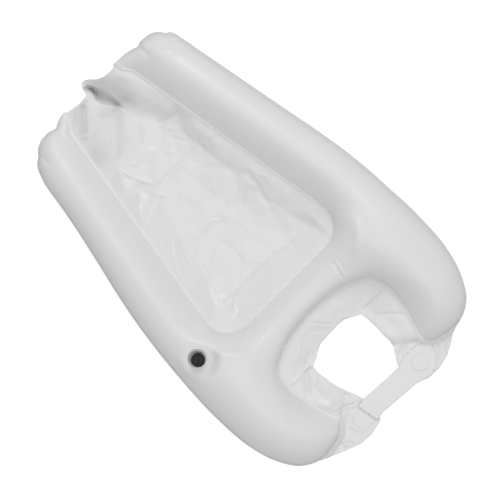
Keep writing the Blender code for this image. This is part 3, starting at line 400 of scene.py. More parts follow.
def facets(flat, points):
    """Heights over the plan of a crumpled film: flat facets between the given points."""
    points = np.array(points)
    result = delaunay_2d_cdt([Vector(p[:2]) for p in points], [], [], 0, 1e-7)
    corners = np.array([tuple(v) for v in result[0]])
    heights = np.array([points[ids[0], 2] for ids in result[3]])
    order = np.argsort(flat[:, 0])
    ordered = flat[order]
    values = np.zeros(len(flat))
    for face in result[2]:
        (ax, ay), (bx, by), (cx, cy) = corners[list(face)]
        whole = (bx - ax) * (cy - ay) - (by - ay) * (cx - ax)
        if abs(whole) < 1e-12:
            continue
        ends = (min(ax, bx, cx) - EDGE_SLACK, max(ax, bx, cx) + EDGE_SLACK)
        first, last = np.searchsorted(ordered[:, 0], ends)
        x, y = ordered[first:last, 0], ordered[first:last, 1]
        u = ((bx - x) * (cy - y) - (by - y) * (cx - x)) / whole
        v = ((cx - x) * (ay - y) - (cy - y) * (ax - x)) / whole
        within = (u >= -EDGE_SLACK) & (v >= -EDGE_SLACK) & (u + v <= 1 + EDGE_SLACK)
        a, b, c = heights[list(face)]
        values[order[first:last][within]] = (u * a + v * b + (1 - u - v) * c)[within]
    return values


def crumpled(flat, spacing, height, seed):
    """The small facets of film that has been folded away: uneven heights at uneven places."""
    chance = np.random.default_rng(seed)
    low, high = flat.min(axis=0) - 2 * spacing, flat.max(axis=0) + 2 * spacing
    grid = np.array([(x, y) for x in np.arange(low[0], high[0], spacing)
                     for y in np.arange(low[1], high[1], spacing)])
    places = grid + chance.uniform(-0.45, 0.45, grid.shape) * spacing
    return facets(flat, np.column_stack((places, chance.uniform(-height, height, len(grid)))))


def smoothed(values, faces, rounds, keep):
    """Heights averaged with their neighbours; those to keep stay as they are."""
    pairs = np.vstack((faces[:, [0, 1]], faces[:, [1, 2]], faces[:, [2, 0]]))
    pairs = np.unique(np.sort(pairs, axis=1), axis=0)
    count = len(values)
    degree = np.bincount(pairs.ravel(), minlength=count)
    for _ in range(rounds):
        total = (np.bincount(pairs[:, 0], values[pairs[:, 1]], count)
                 + np.bincount(pairs[:, 1], values[pairs[:, 0]], count))
        values = np.where(keep, values, (values + total / np.maximum(degree, 1)) / 2)
    return values


# Relief: creases that the photograph shows, as strokes of a given width and height

STROKE_STEP = 0.002
# Rows of mesh points that follow a stroke, how far apart they are by its width, and their least spacing
STRIP_ROWS = (-2, -1, 0, 1, 2)
STRIP_SHARE = 0.7
STROKE_SPACING = 0.0012


class Stroke:
    """A ridge or a valley along a line, which fades out at its ends."""

    def __init__(self, pixels, width, height, level, fade):
        self.line = resample([photo(x, y, level) for x, y in pixels], STROKE_STEP)
        self.width = width
        self.height = height
        length = run_lengths(self.line)
        share = length / length[-1]
        self.strength = eased(np.minimum(share, 1 - share) / fade)

    def at(self, flat):
        low = self.line.min(axis=0) - 3 * self.width
        high = self.line.max(axis=0) + 3 * self.width
        near = ((flat > low) & (flat < high)).all(axis=1)
        added = np.zeros(len(flat))
        if near.any():
            def work(chunk):
                gap = np.linalg.norm(chunk[:, None, :] - self.line[None, :, :], axis=2)
                best = gap.argmin(axis=1)
                away = gap[np.arange(len(chunk)), best]
                return self.height * self.strength[best] * np.exp(-(away / self.width) ** 2)
            added[near] = in_chunks(flat[near], work)
        return added

    def strip(self):
        """Points beside the line that let the mesh follow it."""
        along = np.gradient(self.line, axis=0)
        along /= np.linalg.norm(along, axis=1)[:, None]
        across = np.column_stack((-along[:, 1], along[:, 0]))
        return [p for row in STRIP_ROWS for p in self.line + across * row * self.width * STRIP_SHARE]


def strokes(rows):
    """Strokes from rows of pixels, then width, height (under zero for a valley) and level in millimetres.

    A fifth value is the share that fades out at each end. A sixth sets a ridge beside the valley, by its
    offset in pixels, which is how a crease in stiff film stands.
    """
    made = []
    for pixels, width, height, level, *more in rows:
        width, height, level = (round(size / 1000, 7) for size in (width, height, level))
        fade = more[0] if more else 0.3
        made.append(Stroke(pixels, width, height, level, fade))
        for across, along in more[1:]:
            beside = [(x + across, y + along) for x, y in pixels]
            made.append(Stroke(beside, width * 1.2, -height * 0.8, level, fade))
    return made


def stroke_points(relief, taken, loop, spacing):
    """Points inside the loop that let a mesh follow the strokes."""
    points = thinned([p for stroke in relief for p in stroke.strip()], taken, spacing)
    return [p for p, there in zip(points, inside(np.array(points), loop)) if there]


def crinkle(flat):
    """Low soft noise over the plan."""
    places = flat / CRINKLE_SIZE
    return CRINKLE_HEIGHT * np.array([noise.noise(Vector((x, y, CRINKLE_LAYER))) for x, y in places])


# Materials

ROUGHNESS_SPREAD = 0.05
# Painted shade: the grey that the film's colour is darkened towards in the shade of the spout's fold
PAINTED_FOLD_SHADE = (0.40, 0.40, 0.405, 1)


def material(name, colour, roughness, **settings):
    """A satin plastic, mottled a little in colour and roughness, with a fine grain."""
    made = bpy.data.materials.new(name)
    made.use_nodes = True
    nodes, links = made.node_tree.nodes, made.node_tree.links
    shader = nodes["Principled BSDF"]
    shader.inputs["Roughness"].default_value = roughness
    coordinates = nodes.new("ShaderNodeTexCoord")

    def texture(scale, detail):
        made = nodes.new("ShaderNodeTexNoise")
        made.inputs["Scale"].default_value = scale
        made.inputs["Detail"].default_value = detail
        links.new(coordinates.outputs["Object"], made.inputs["Vector"])
        return made
    mottle = texture(9.0, 4.0)
    grain = texture(settings.get("grain_scale", 420.0), 3.0)
    mix = nodes.new("ShaderNodeMix")
    mix.data_type = "RGBA"
    spread = settings.get("spread", 0.015)
    mix.inputs["A"].default_value = (*[max(c - spread, 0) for c in colour], 1)
    mix.inputs["B"].default_value = (*[min(c + spread, 1) for c in colour], 1)
    links.new(mottle.outputs["Fac"], mix.inputs["Factor"])
    links.new(mix.outputs["Result"], shader.inputs["Base Color"])
    rough = nodes.new("ShaderNodeMapRange")
    rough.inputs["To Min"].default_value = roughness - ROUGHNESS_SPREAD
    rough.inputs["To Max"].default_value = roughness + ROUGHNESS_SPREAD
    links.new(mottle.outputs["Fac"], rough.inputs["Value"])
    links.new(rough.outputs["Result"], shader.inputs["Roughness"])
    bump = nodes.new("ShaderNodeBump")
    bump.inputs["Strength"].default_value = settings.get("bump", 0.08)
    bump.inputs["Distance"].default_value = settings.get("bump_depth", 0.0004)
    links.new(grain.outputs["Fac"], bump.inputs["Height"])
    links.new(bump.outputs["Normal"], shader.inputs["Normal"])
    for socket, value in settings.get("sockets", {}).items():
        shader.inputs[socket].default_value = value
    return made


def paint_fold_shade(made):
    """Painted shade: the film's colour darkened towards a grey, by the mesh's own value for each point, where
    the spout's fold and the slopes by it lie in shade.
    """
    nodes, links = made.node_tree.nodes, made.node_tree.links
    shader = nodes["Principled BSDF"]
    plain = shader.inputs["Base Color"].links[0].from_socket
    shade_amount = nodes.new("ShaderNodeAttribute")
    shade_amount.attribute_name = "painted_fold_shade"
    mix = nodes.new("ShaderNodeMix")
    mix.data_type = "RGBA"
    links.new(shade_amount.outputs["Fac"], mix.inputs["Factor"])
    links.new(plain, mix.inputs["A"])
    mix.inputs["B"].default_value = PAINTED_FOLD_SHADE
    links.new(mix.outputs["Result"], shader.inputs["Base Color"])


VINYL = material("satin_vinyl", (0.79, 0.79, 0.795), 0.36)
FILM = material("thin_film", (0.815, 0.815, 0.82), 0.36)
# painted shade at the spout's fold, mixed into the film's colour
paint_fold_shade(FILM)
STRAP_VINYL = material("strap_film", (0.82, 0.82, 0.825), 0.40)
FASTENER = material("hook_and_loop_pile", (0.84, 0.84, 0.835), 0.95, grain_scale=2200.0, bump=0.3)
BLACK = material("black_moulding", (0.010, 0.010, 0.011), 0.42, spread=0.004, grain_scale=300.0, bump=0.8,
                 bump_depth=0.0010, sockets={"Specular IOR Level": 0.35})
RUBBER = material("black_gasket", (0.02, 0.02, 0.02), 0.75, spread=0.005)
SILICONE = material("milky_silicone", (0.60, 0.60, 0.60), 0.45)
CLEAR = material("clear_soft_vinyl", (0.80, 0.81, 0.82), 0.12,
                 sockets={"Transmission Weight": 0.75, "IOR": 1.53})
LIP = material("clear_neck_lip", (0.60, 0.60, 0.61), 0.14, sockets={"Transmission Weight": 0.30, "IOR": 1.53})
WELD = material("embossed_weld", (0.93, 0.93, 0.93), 0.30)


def placed(name, data):
    """A new object in the scene."""
    made = bpy.data.objects.new(name, data)
    bpy.context.scene.collection.objects.link(made)
    return made


def surface(name, points, faces, finish, thickness, offset, body, nodes):
    """A sheet of even thickness that stands for CAD nodes."""
    mesh = bpy.data.meshes.new(name)
    mesh.from_pydata([tuple(p) for p in points], [], [tuple(int(i) for i in f) for f in faces])
    mesh.materials.append(finish)
    mesh.shade_smooth()
    piece = placed(name, mesh)
    solid = piece.modifiers.new("Thickness", "SOLIDIFY")
    solid.thickness = thickness
    solid.offset = offset
    if body:
        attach(piece, body)
    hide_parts(*nodes)
    return piece


def facing(flat, faces, up):
    """The faces turned so that they all look up, or all down."""
    return np.where(((double_areas(flat, faces) > 0) == up)[:, None], faces, faces[:, ::-1])


# The air chamber

def middle_of(box):
    return np.array(((box[0].x + box[1].x) / 2, (box[0].y + box[1].y) / 2))


VALVE_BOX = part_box("valve_flange")
VALVE = middle_of(VALVE_BOX)
PAD_RADIUS = 0.021
PAD_HEIGHT = VALVE_BOX[1].z - 0.0055
CHAMBER_STROKES = strokes((
    # the dart on the rest bar and the wrinkles where the bar meets the right arm
    (((332, 256), (339, 266), (346, 278)), 1.4, 1.7, 85, 0.15),
    (((330.4, 257.4), (337.2, 267.4), (344.2, 279.4)), 1.6, -1.6, 85, 0.15),
    (((334, 255), (341, 264.8), (348, 276.6)), 1.4, -0.8, 85, 0.15),
    (((336, 197), (343, 195.5), (353, 190)), 2, -1.7, 88, 0.3, (0.6, 2)),
    (((340, 206.4), (346, 204.5), (355, 200.4)), 2, -1.8, 88, 0.3, (0.6, 2)),
    (((350, 210), (357, 228), (357, 244), (350, 260)), 6.8, 4.6, 85),
    (((203, 350), (228, 355), (252, 352)), 7, 3.4, 85),
    # puckers where the arms' ends are welded round
    (((137, 44.5), (143, 51), (151, 58)), 2.8, -3, 55),
    (((140, 43), (150, 50), (160, 52)), 3.8, 1.6, 60),
    (((166.5, 32), (169, 39), (173, 47)), 2.6, -2.4, 55),
    (((150, 60), (163, 54), (178, 48)), 8.5, 2.6, 80),
    (((112, 66), (118, 68), (126, 70)), 1.6, 1.2, 50),
    (((114, 63), (121, 64.5), (130, 64)), 1.8, -1.2, 50),
    (((54, 128), (60, 134), (67, 141)), 2.8, -3, 55),
    (((37.5, 155), (44, 159), (52, 166)), 2.6, -2.2, 55),
    (((44, 146), (53, 152), (62, 160)), 8, 2.4, 75),
    (((66, 113), (68.6, 119), (71, 126)), 2.2, -2.2, 50),
    (((63, 118), (65.5, 125), (68, 132)), 2.4, 1.6, 55),
    (((268, 330), (290, 306), (325, 268)), 4.5, 1.2, 80),
    (((256, 324), (276, 300), (300, 274)), 4, -0.8, 80)))
DISC_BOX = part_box("strap_weld_disc")
DISC = middle_of(DISC_BOX)
DISC_RADIUS = (DISC_BOX[1].x - DISC_BOX[0].x) / 2
ROW_ANGLES = (10, 20, 30, 40, 50, 60, 72)
CREST_SPACING = 0.0015
TUBE_RADIUS = (ARM_SHOULDER_WIDTH - TROUGH_SPOUT_WIDTH) / 4
# The weld's rim curls up on the sides that look away from here
RIM_CURL = 0.0011
RIM_CURL_FROM = (0.785, 0.62)
VALVE_HOLE_RADIUS = 0.0098
PAD_RINGS = (0.0125, 0.0155, 0.0185, 0.0245)
PAD_CLEAR_RADIUS = PAD_RADIUS + 0.005
PAD_BLEND = 0.016
# The rest bar keeps less of its bulge, within these shares of the trough's width
BAR_CREST_SHARE = 0.85
BAR_RAMP_SHARE = 0.72
BAR_HOLD_SHARES = (0.60, 0.98)
BAR_SQUARENESS = 2.8
BAR_FADE_RUN = 0.040
BAR_FADE_START = 1.5
# The flanks rise over this run from the inner welds, and start higher by the bar and the corners
FLANK_RUN = 0.050
BAR_REACH = 0.110
BAR_REACH_RUN = 0.100
CORNER_REACH = 0.070
CORNER_SHARE = 0.6


def circle(centre, radius, count):
    angles = np.arange(count) * 2 * math.pi / count
    return np.column_stack((centre[0] + radius * np.cos(angles), centre[1] + radius * np.sin(angles)))


def bar_hold(flat):
    """Share of its bulge that the upper skin keeps: less on the bar and on the flanks by the inner welds."""
    across = np.abs(flat[:, 0])
    half = np.column_stack((across, flat[:, 1]))
    to_trough, to_ring = (distance_to(half, SEAM_PARTS[part], False) for part in (0, 3))
    ramp = to_trough / (BAR_WIDTH * BAR_RAMP_SHARE)
    kept = BAR_CREST_SHARE * np.sqrt(np.sin(math.pi / 2 * np.clip(ramp, 0, 1)))
    depth = np.clip(2 * to_ring / BAR_WIDTH, 0.02, 1)
    kept *= (1 - (1 - depth) ** BAR_SQUARENESS) ** (1 / BAR_SQUARENESS) / np.sqrt(1 - (1 - depth) ** 2)
    first, last = BAR_HOLD_SHARES
    held = np.clip((last - across / (TROUGH_NECK_WIDTH / 2)) / (last - first), 0, 1)
    held *= np.clip((TROUGH_END_Y + TROUGH_CORNER_RADIUS - flat[:, 1]) / TROUGH_CORNER_RADIUS, 0, 1)
    held *= np.clip((flat[:, 1] - RING_TOP_Y) / BAR_FADE_RUN + BAR_FADE_START, 0, 1)
    to_ring = to_ring + FLANK_RUN * eased((flat[:, 1] - RING_TOP_Y + BAR_REACH) / BAR_REACH_RUN)
    by_corner = eased((TROUGH_END_Y + CORNER_REACH - flat[:, 1]) / CORNER_REACH)
    to_trough = to_trough + CORNER_SHARE * FLANK_RUN * by_corner
    flank = np.clip(np.minimum(to_trough, to_ring) / FLANK_RUN, 0.01, 1)
    return held * kept + (1 - held) * np.sqrt(np.sin(math.pi / 2 * flank))


def make_chamber():
    hole = circle(VALVE, VALVE_HOLE_RADIUS, 32)
    pad = circle(VALVE, PAD_RADIUS, 48)
    points = stroke_points(CHAMBER_STROKES, list(SEAM) + list(pad), SEAM, CREST_SPACING)
    for radius in PAD_RINGS:
        points += list(circle(VALVE, radius, 48))
    for angle in ROW_ANGLES:
        depth = TUBE_RADIUS * (1 - math.cos(math.radians(angle)))
        row = SEAM - OUTWARD * depth
        row = row[(distance_to(row, SEAM, True) > 0.95 * depth) & inside(row, SEAM)]
        row = row[np.linalg.norm(row - VALVE, axis=1) > PAD_CLEAR_RADIUS]
        points += thinned(row, list(SEAM) + points, min(depth * 0.8, SEAM_STEP * 0.7))
    middle = lattice(SEAM, SEAM_STEP * 1.2)
    middle = middle[distance_to(middle, SEAM, True) > TUBE_RADIUS * 0.6]
    middle = middle[np.linalg.norm(middle - VALVE, axis=1) > PAD_CLEAR_RADIUS]
    points += thinned(middle, list(SEAM) + points + list(pad), SEAM_STEP * 0.8)
    flat, faces = triangulate(SEAM, [pad, hole], points + [VALVE])
    edge = distance_to(flat, SEAM, True)
    bulge = np.sqrt(poisson(flat, faces, edge < ON_LINE))
    top = SEAM_HEIGHT + SKIN_OFFSET
    bottom = SEAM_HEIGHT - SKIN_OFFSET
    upper = top + bulge * bar_hold(flat)
    for stroke in CHAMBER_STROKES:
        upper += stroke.at(flat)
    from_valve = np.linalg.norm(flat - VALVE, axis=1)
    share = eased((from_valve - PAD_RADIUS) / PAD_BLEND)
    upper = PAD_HEIGHT * (1 - share) + upper * share
    lower = np.maximum(bottom - bulge, 0)
    nearest = [int(np.argmin(np.hypot(flat[:, 0] - x, flat[:, 1] - y))) for x, y in SEAM]
    count = len(SEAM)
    first = len(flat)
    strip = []
    for i in range(count):
        j = (i + 1) % count
        strip += [(nearest[i], first + i, first + j), (nearest[i], first + j, nearest[j])]
    rim = SEAM + OUTWARD * WELD_WIDTH
    curl = RIM_CURL * np.clip(-OUTWARD @ np.array(RIM_CURL_FROM), 0, 1)
    plan = np.vstack((flat, rim))
    holed = faces[~inside(flat[faces].mean(axis=1), hole)]
    for name, heights, level, cells, up, node in (
            ("chamber_top", upper, top + curl, holed, True, "upper_skin"),
            ("chamber_bottom", lower, np.full(count, bottom), faces, False, "lower_skin")):
        all_faces = facing(plan, np.vstack((cells, strip)), up)
        used, place = np.unique(all_faces, return_inverse=True)
        points = np.column_stack((plan, np.concatenate((heights, level))))[used]
        piece = surface(name, points, place.reshape(all_faces.shape), VINYL, SKIN_THICKNESS, -1, "basin",
                        [node])
        piece.data.materials.append(WELD)
        for index in range(2 * count):
            place = min(index // 2, count - index // 2)
            if not len(SEAM_PARTS[3]) <= place <= len(SEAM_RIGHT) - len(SEAM_PARTS[0]):
                piece.data.polygons[len(cells) + index].material_index = 1


# The trough film

HEM_STEP = 0.0025
CREASE_FADE = 0.008
CRINKLE_HEIGHT = 0.0008
CRINKLE_SIZE = 0.030
CRINKLE_LAYER = 3.0
# Meshes of the film: step of the grid and least spacing
SPOUT_MESH = (0.0015, 0.0010)
LINER_MESH = (0.0027, 0.0019)
COLLAR_MESH = (0.0022, 0.0011)
# Facets of film that was folded: spacing, height and seed, first the wide ones and then the fine ones
LINER_FACETS = ((0.021, 0.0015, 5), (0.010, 0.0005, 6))
COLLAR_FACETS = ((0.015, 0.0007, 11), (0.006, 0.0003, 12))
LOOSE_RUN = 0.020
SPOUT_REACH = 0.014
SHARP_REACH = 0.010
# Knots of the tray's film: pixels of the photograph and height in millimetres
LINER_KNOTS = (
    # pit of the spout's groove: edge of the right slope, bottom, lip of the left wall
    (86.6, 84.8, 25), (90, 85.4, 24.5), (94.1, 86.6, 24), (98.5, 87.4, 23.5), (102.6, 88.6, 22.5),
    (107.7, 91.6, 21), (112.8, 95.6, 18.5), (117, 99.8, 14), (120.8, 104.5, 9), (89.4, 88.2, 10),
    (92.6, 90.4, 3), (95.2, 94.2, 2.5), (98.2, 98, 2.5), (103, 100.2, 2.5), (108, 101.4, 2.5),
    (113, 102.8, 2.5), (117, 104.4, 3), (119.5, 106.5, 5), (88.6, 91, 31), (91.2, 93.2, 34),
    (93.3, 96.2, 34.3), (95.4, 100.6, 33.5), (99, 103.4, 32), (105, 105.2, 29), (110.5, 106.2, 24),
    (115.5, 107.4, 17), (119, 109.4, 10),
    # right slope: a shelf beside the seam, a steep run, the dark pocket before the crease
    (116, 74, 38.5), (125, 77, 38.5), (137, 83, 38.5), (150, 89.5, 38), (163, 96.5, 37.5), (175, 103, 37.5),
    (110, 80.5, 31), (118, 83.5, 31), (130, 89.5, 31), (143, 96.5, 31), (156, 103.5, 30), (169, 109.5, 29),
    (107, 85.5, 26.5), (116, 90.5, 24.5), (124, 95.5, 22), (135, 100.5, 22), (148, 107, 20),
    (160, 111.5, 19), (125, 100, 15), (131, 104, 13), (141, 108.5, 13.5), (151, 113, 11), (162, 116, 12),
    (187, 119, 28), (199.5, 123, 37), (195.2, 127.2, 33.5), (190.3, 132.1, 22), (214.3, 133.6, 38.4),
    (210.1, 137.8, 35.5), (205.1, 142.8, 29), (229.1, 144.2, 38.4), (224.9, 148.5, 35.5),
    (219.9, 153.4, 29), (243.9, 154.9, 38.4), (239.7, 159.1, 35.5), (234.7, 164.1, 29),
    (258.7, 165.5, 38.4), (254.5, 169.8, 35.5), (249.5, 174.7, 29), (273.5, 176.2, 38.4),
    (269.3, 180.4, 35.5), (264.3, 185.4, 29), (288.3, 186.8, 38.4), (284.1, 191.1, 35.5), (279.2, 196, 29),
    (300, 196, 38), (292, 202, 31), (285, 210, 21), (306, 212, 31), (318, 222, 31), (322, 214, 36.5),
    # left slope
    (80.4, 106, 36), (80.4, 126, 34), (84.2, 138.7, 33), (92, 137.5, 29), (88.5, 106, 33), (98, 118, 25),
    (108, 118, 17.5), (104, 140, 20), (112, 150, 13), (100, 160, 26), (125, 190, 12), (140, 212, 15),
    # edge of the floor on the left, from the point of the V
    (118, 111.4, 9), (123, 121, 6), (124.6, 136, 5), (124.4, 150, 5), (122.4, 160, 5), (118.4, 167.8, 7),
    (138.7, 189.3, 3), (148.8, 196.9, 4.5), (179.2, 233.7, 4), (192.9, 256.3, 4), (204.3, 274, 4),
    (209, 290, 5),
    # edge of the floor on the right
    (127, 110.5, 8), (138.7, 116.1, 7), (150, 119.6, 7), (158.5, 122.6, 6), (168, 118, 11),
    (177.9, 112.5, 18), (181, 128, 10), (189, 136, 11), (198.8, 143.1, 12.5), (208, 152, 13),
    (214.7, 157.7, 17), (230.9, 170.1, 19), (256.3, 189.1, 19.5), (265.1, 200.5, 17), (277.8, 203.7, 21),
    # fold at the neck end
    (310.7, 225.9, 16), (291.7, 241.1, 9.5), (274, 253.7, 8), (246.1, 279, 7.5), (232.2, 294.3, 8.5),
    (214.5, 305.7, 13),
    # floor: facets between the V and the crease, then the wide field
    (132, 127, 6), (138, 145, 8), (150, 132, 6.5), (150, 150, 6.2), (165, 142, 8), (176, 150, 6),
    (135, 162, 7.5), (146, 168, 5.5), (157, 172, 8), (141, 181, 6.5), (152, 184, 5), (163, 183, 7.6),
    (176, 170, 8.2), (189, 157, 8), (158, 196, 8.5), (178, 188, 6.6), (200, 165, 7.5), (200, 200, 6.5),
    (235, 225, 7), (225, 262, 6), (215, 240, 6.8), (245, 205, 8.5), (262, 225, 10), (276, 218, 14))

# Bottom of the spout's fold, where the film's mesh is fine and stays sharp
GROOVE = ((88, 87), (94.5, 90.2), (102, 93.8), (110, 97.4), (118, 104))
# Free edge of the film at the spout, from the right arm to the left: pixels and millimetres
HEM = ((113, 68, 39), (110.4, 71.2, 38), (104.3, 76.2, 34), (97.3, 79.4, 30), (91, 79.3, 27),
       (86.1, 79.6, 26), (83, 81.3, 26), (81.3, 84.9, 27), (83.2, 90, 30), (87, 96, 34), (80, 103.3, 36),
       (72, 109.2, 38), (67, 112.4, 39))
LINER_STROKES = strokes((
    # the crease across the tray, with the raised film beside it
    (((201, 141), (195.5, 147.5), (188, 154.5), (182.5, 158.5), (175, 167.5), (169.1, 171), (163, 179),
     (156, 185.5), (148.8, 194.4)), 1.9, -1.7, 6, 0.12),
    (((204, 143), (197, 150), (190, 157), (178, 169), (166, 181.5), (152, 196.5)), 2.2, 1, 6, 0.12),
    (((148.8, 194.4), (142, 200), (137, 207), (131, 212)), 2, -1.6, 12, 0.5),
    (((226, 130.5), (212, 136.5), (200, 142.5)), 1.5, 1.7, 20, 0.25),
    (((226, 133.5), (213, 139.5), (202, 145.5)), 2, -1.4, 20, 0.25),
    (((184, 131), (191, 136), (197.5, 141)), 1.6, 1.6, 8),
    # dark pocket at the end of the V, and its point
    (((155, 123.5), (162, 121), (171, 116.5), (178, 112)), 1.7, -2, 10),
    (((110, 107), (116, 109.5), (120, 114), (123, 124), (124.5, 137), (124, 150), (121.5, 160)),
     2.2, -1.8, 8, 0.2),
    (((119.5, 165), (116, 160), (113, 150), (108, 130), (104, 117)), 1.8, 1.2, 15),
    (((118.4, 168.5), (124, 172.5), (132, 177), (143, 181.5), (152, 184)), 1.8, 2.2, 6, 0.25),
    (((116, 171), (122, 176.5), (131, 181.5)), 2, -1.4, 8),
    (((126, 161.5), (134, 165), (143.7, 168), (152, 172)), 2.2, 1.2, 5),
    (((150, 193.5), (158, 194.8), (168, 196)), 2.8, 2.6, 4, 0.4),
    (((143, 177.5), (149, 182), (155, 184)), 2.4, 2.4, 4, 0.4),
    (((176, 189), (184, 187.5), (193, 186.5)), 2, 0.9, 4, 0.4),
    # the fold at the neck end
    (((311, 225.5), (301, 232), (291.7, 241.1), (274, 253.7), (260, 266), (246.1, 279), (232.2, 294.3),
     (224, 299.5), (214.5, 305.7)), 1.6, -1.4, 3, 0.3, (2.4, 2.4)),
    # dark valley on the right slope
    (((240, 171), (249, 176), (258.8, 185.3), (261.3, 194.2), (267.7, 202), (279, 203)), 3.4, -3, 20),
    (((241, 173.5), (248.7, 168), (256.3, 177), (261, 188)), 2, 1.8, 10),
    (((248.7, 163.8), (256.3, 174), (271.5, 177.7)), 1.8, 1.1, 20),
    (((160, 126), (172, 129), (186, 129)), 2.2, 1.2, 8),
    (((164, 137.5), (180, 139.5), (192, 144)), 2.4, -1.3, 6),
    (((160, 152), (176, 152), (188, 149)), 2.2, 0.9, 6),
    # crinkles on the floor
    (((197, 237), (204.3, 223.5), (211, 217), (217, 218), (228, 209)), 2.2, -0.8, 3, 0.2),
    (((200, 239), (207, 226.5), (213, 220), (219, 221), (231, 211)), 2, 1.4, 3, 0.2),
    (((242.3, 241), (246.1, 248.7), (245, 262), (241.1, 280.3)), 2.2, 1, 3),
    (((204, 262), (212, 275), (209, 281)), 2, 1.3, 4),
    (((216, 290), (220, 293)), 2, 1.4, 3),
    (((204, 281), (209, 280)), 1.8, 1, 3),
    # streaks on the left slope
    (((170, 236), (174, 257.5), (182.8, 284)), 1.8, -1.3, 20, 0.3, (2.4, 0.4)),
    (((174, 228), (184, 250), (197, 280)), 1.8, -0.9, 12, 0.3, (2, -0.8)),
    (((167.6, 238.5), (163.8, 246)), 1.8, 1.4, 20),
    (((98, 103), (104, 116), (111, 139), (116, 156)), 2, -1.6, 20),
    (((83.5, 104), (83.8, 120), (85, 137)), 4.2, -5.5, 34, 0.15),
    (((72.5, 110.5), (74, 116), (75, 122)), 2, 1.4, 36),
    (((76, 126), (78.5, 132), (81, 137)), 1.6, 1.4, 35),
    (((80.4, 138.4), (85, 139.2), (90, 138.4)), 1.6, -2, 33),
    (((85, 146), (88.5, 152), (91.5, 159)), 1.6, 1.2, 33),
    # hem along the free edge
    (((88.3, 97.6), (81, 104.6), (73, 110.8), (68.4, 114)), 0.9, 0.9, 36, 0.1),
    (((89.4, 100), (82.4, 106.6), (74.6, 112.8)), 1, -0.8, 36, 0.1),
    (((140, 213), (146, 226), (149, 238)), 2.2, 1.3, 20),
    (((127, 216), (134, 209), (146, 200)), 2.2, -1.3, 20),
    # radial wrinkles in the neck end's left corner
    (((231, 297), (228, 300), (223, 305)), 1.6, 1.4, 8),
    (((236, 297), (234, 305), (235, 313)), 1.8, 1.6, 12),
    (((241, 303), (238.5, 311), (234, 319)), 1.8, -1.6, 15),
    (((222, 296), (219, 309)), 1.8, 1.1, 8),
    # hems of the beak
    (((84.5, 83.5), (84.3, 86), (86.6, 90.6)), 0.9, 0.8, 34, 0.1)))

# Painted shade at the spout: lines where the film's colour is darkened for the shade in and beside the fold:
# pixels, reach in metres and how dark
PAINTED_FOLD_SHADES = ((((91, 89), (98, 92.5), (106, 96), (114, 100.5), (119, 104.5)), 0.0078, 0.52),
         (((86, 81.5), (95, 82.5), (105, 84), (117, 91), (126, 99)), 0.0150, 0.40),
         (((83, 102), (84, 120), (86, 138)), 0.0080, 0.32),
         (((116, 108), (119, 130), (119, 155)), 0.0060, 0.16),
         (((76, 114), (84, 132), (98, 158)), 0.0180, 0.24))


def painted_shade_amounts(flat):
    """How much painted shade each point of the film takes, from the lines of shade at the spout's fold."""
    shade_amount = np.zeros(len(flat))
    for pixels, reach, strength in PAINTED_FOLD_SHADES:
        gap = distance_to(flat, [photo(x, y, 0.02) for x, y in pixels], False)
        shade_amount = np.maximum(shade_amount, strength * np.exp(-(gap / reach) ** 2))
    return shade_amount


def make_liner():
    trough, *others = SEAM_PARTS
    arm_tip = sum(len(part) - 1 for part in others)
    seam, inward = seam_run(arm_tip, arm_tip + len(trough) - 1)
    ends = (seam[-1] + inward[-1] * WELD_REACH, seam[0] + inward[0] * WELD_REACH)
    hem = lifted(HEM)[::-1]
    edge = resample([(*ends[0], SEAM_HEIGHT)] + hem + [(*ends[1], SEAM_HEIGHT)], HEM_STEP)
    outline = np.vstack((seam + inward * GAP, edge[:, :2]))
    weld_row = seam + inward * WELD_REACH
    groove = [photo(x, y) for x, y in GROOVE]
    points = stroke_points(LINER_STROKES, outline, outline, STROKE_SPACING)
    spout = lattice(outline, SPOUT_MESH[0])
    spout = spout[distance_to(spout, groove, False) < SPOUT_REACH]
    points += thinned(spout, list(outline) + points, SPOUT_MESH[1])
    inner = list(weld_row[1:-1]) + list(lattice(outline, LINER_MESH[0]))
    points += thinned(inner, list(outline) + points, LINER_MESH[1])
    flat, faces = triangulate(outline, [], points)
    from_seam = distance_to(flat, SEAM, True)
    ring = [(*p, SEAM_HEIGHT) for p in weld_row[::2]] + [tuple(p) for p in edge[1:-1]]
    heights = facets(flat, lifted(LINER_KNOTS) + ring)
    welded = from_seam < WELD_REACH + 1e-4
    heights[welded] = SEAM_HEIGHT
    from_edge = distance_to(flat, edge[:, :2], False)
    in_groove = distance_to(flat, groove, False) < SHARP_REACH
    heights = smoothed(heights, faces, 2, (from_edge < ON_LINE) | in_groove | welded)
    loose = np.clip((from_seam - WELD_REACH) / LOOSE_RUN, 0, 1) * np.clip(from_edge / LOOSE_RUN, 0, 1)
    heights += loose * sum(crumpled(flat, *row) for row in LINER_FACETS)
    fade = np.clip((from_seam - WELD_REACH) / CREASE_FADE, 0, 1)
    for stroke in LINER_STROKES:
        heights += stroke.at(flat) * fade
    heights += fade * crinkle(flat)
    heights = np.maximum(heights, FLOOR_HEIGHT)
    piece = surface("trough_film", np.column_stack((flat, heights)), facing(flat, faces, True), FILM,
                    FILM_THICKNESS, 0, "basin", ["trough_liner"])
    # painted shade amounts, stored on the film's points for its material to darken the colour
    painted_shade = piece.data.attributes.new("painted_fold_shade", "FLOAT", "POINT")
    painted_shade.data.foreach_set("value", painted_shade_amounts(flat).astype(np.float32))


# The neck collar and its flaps

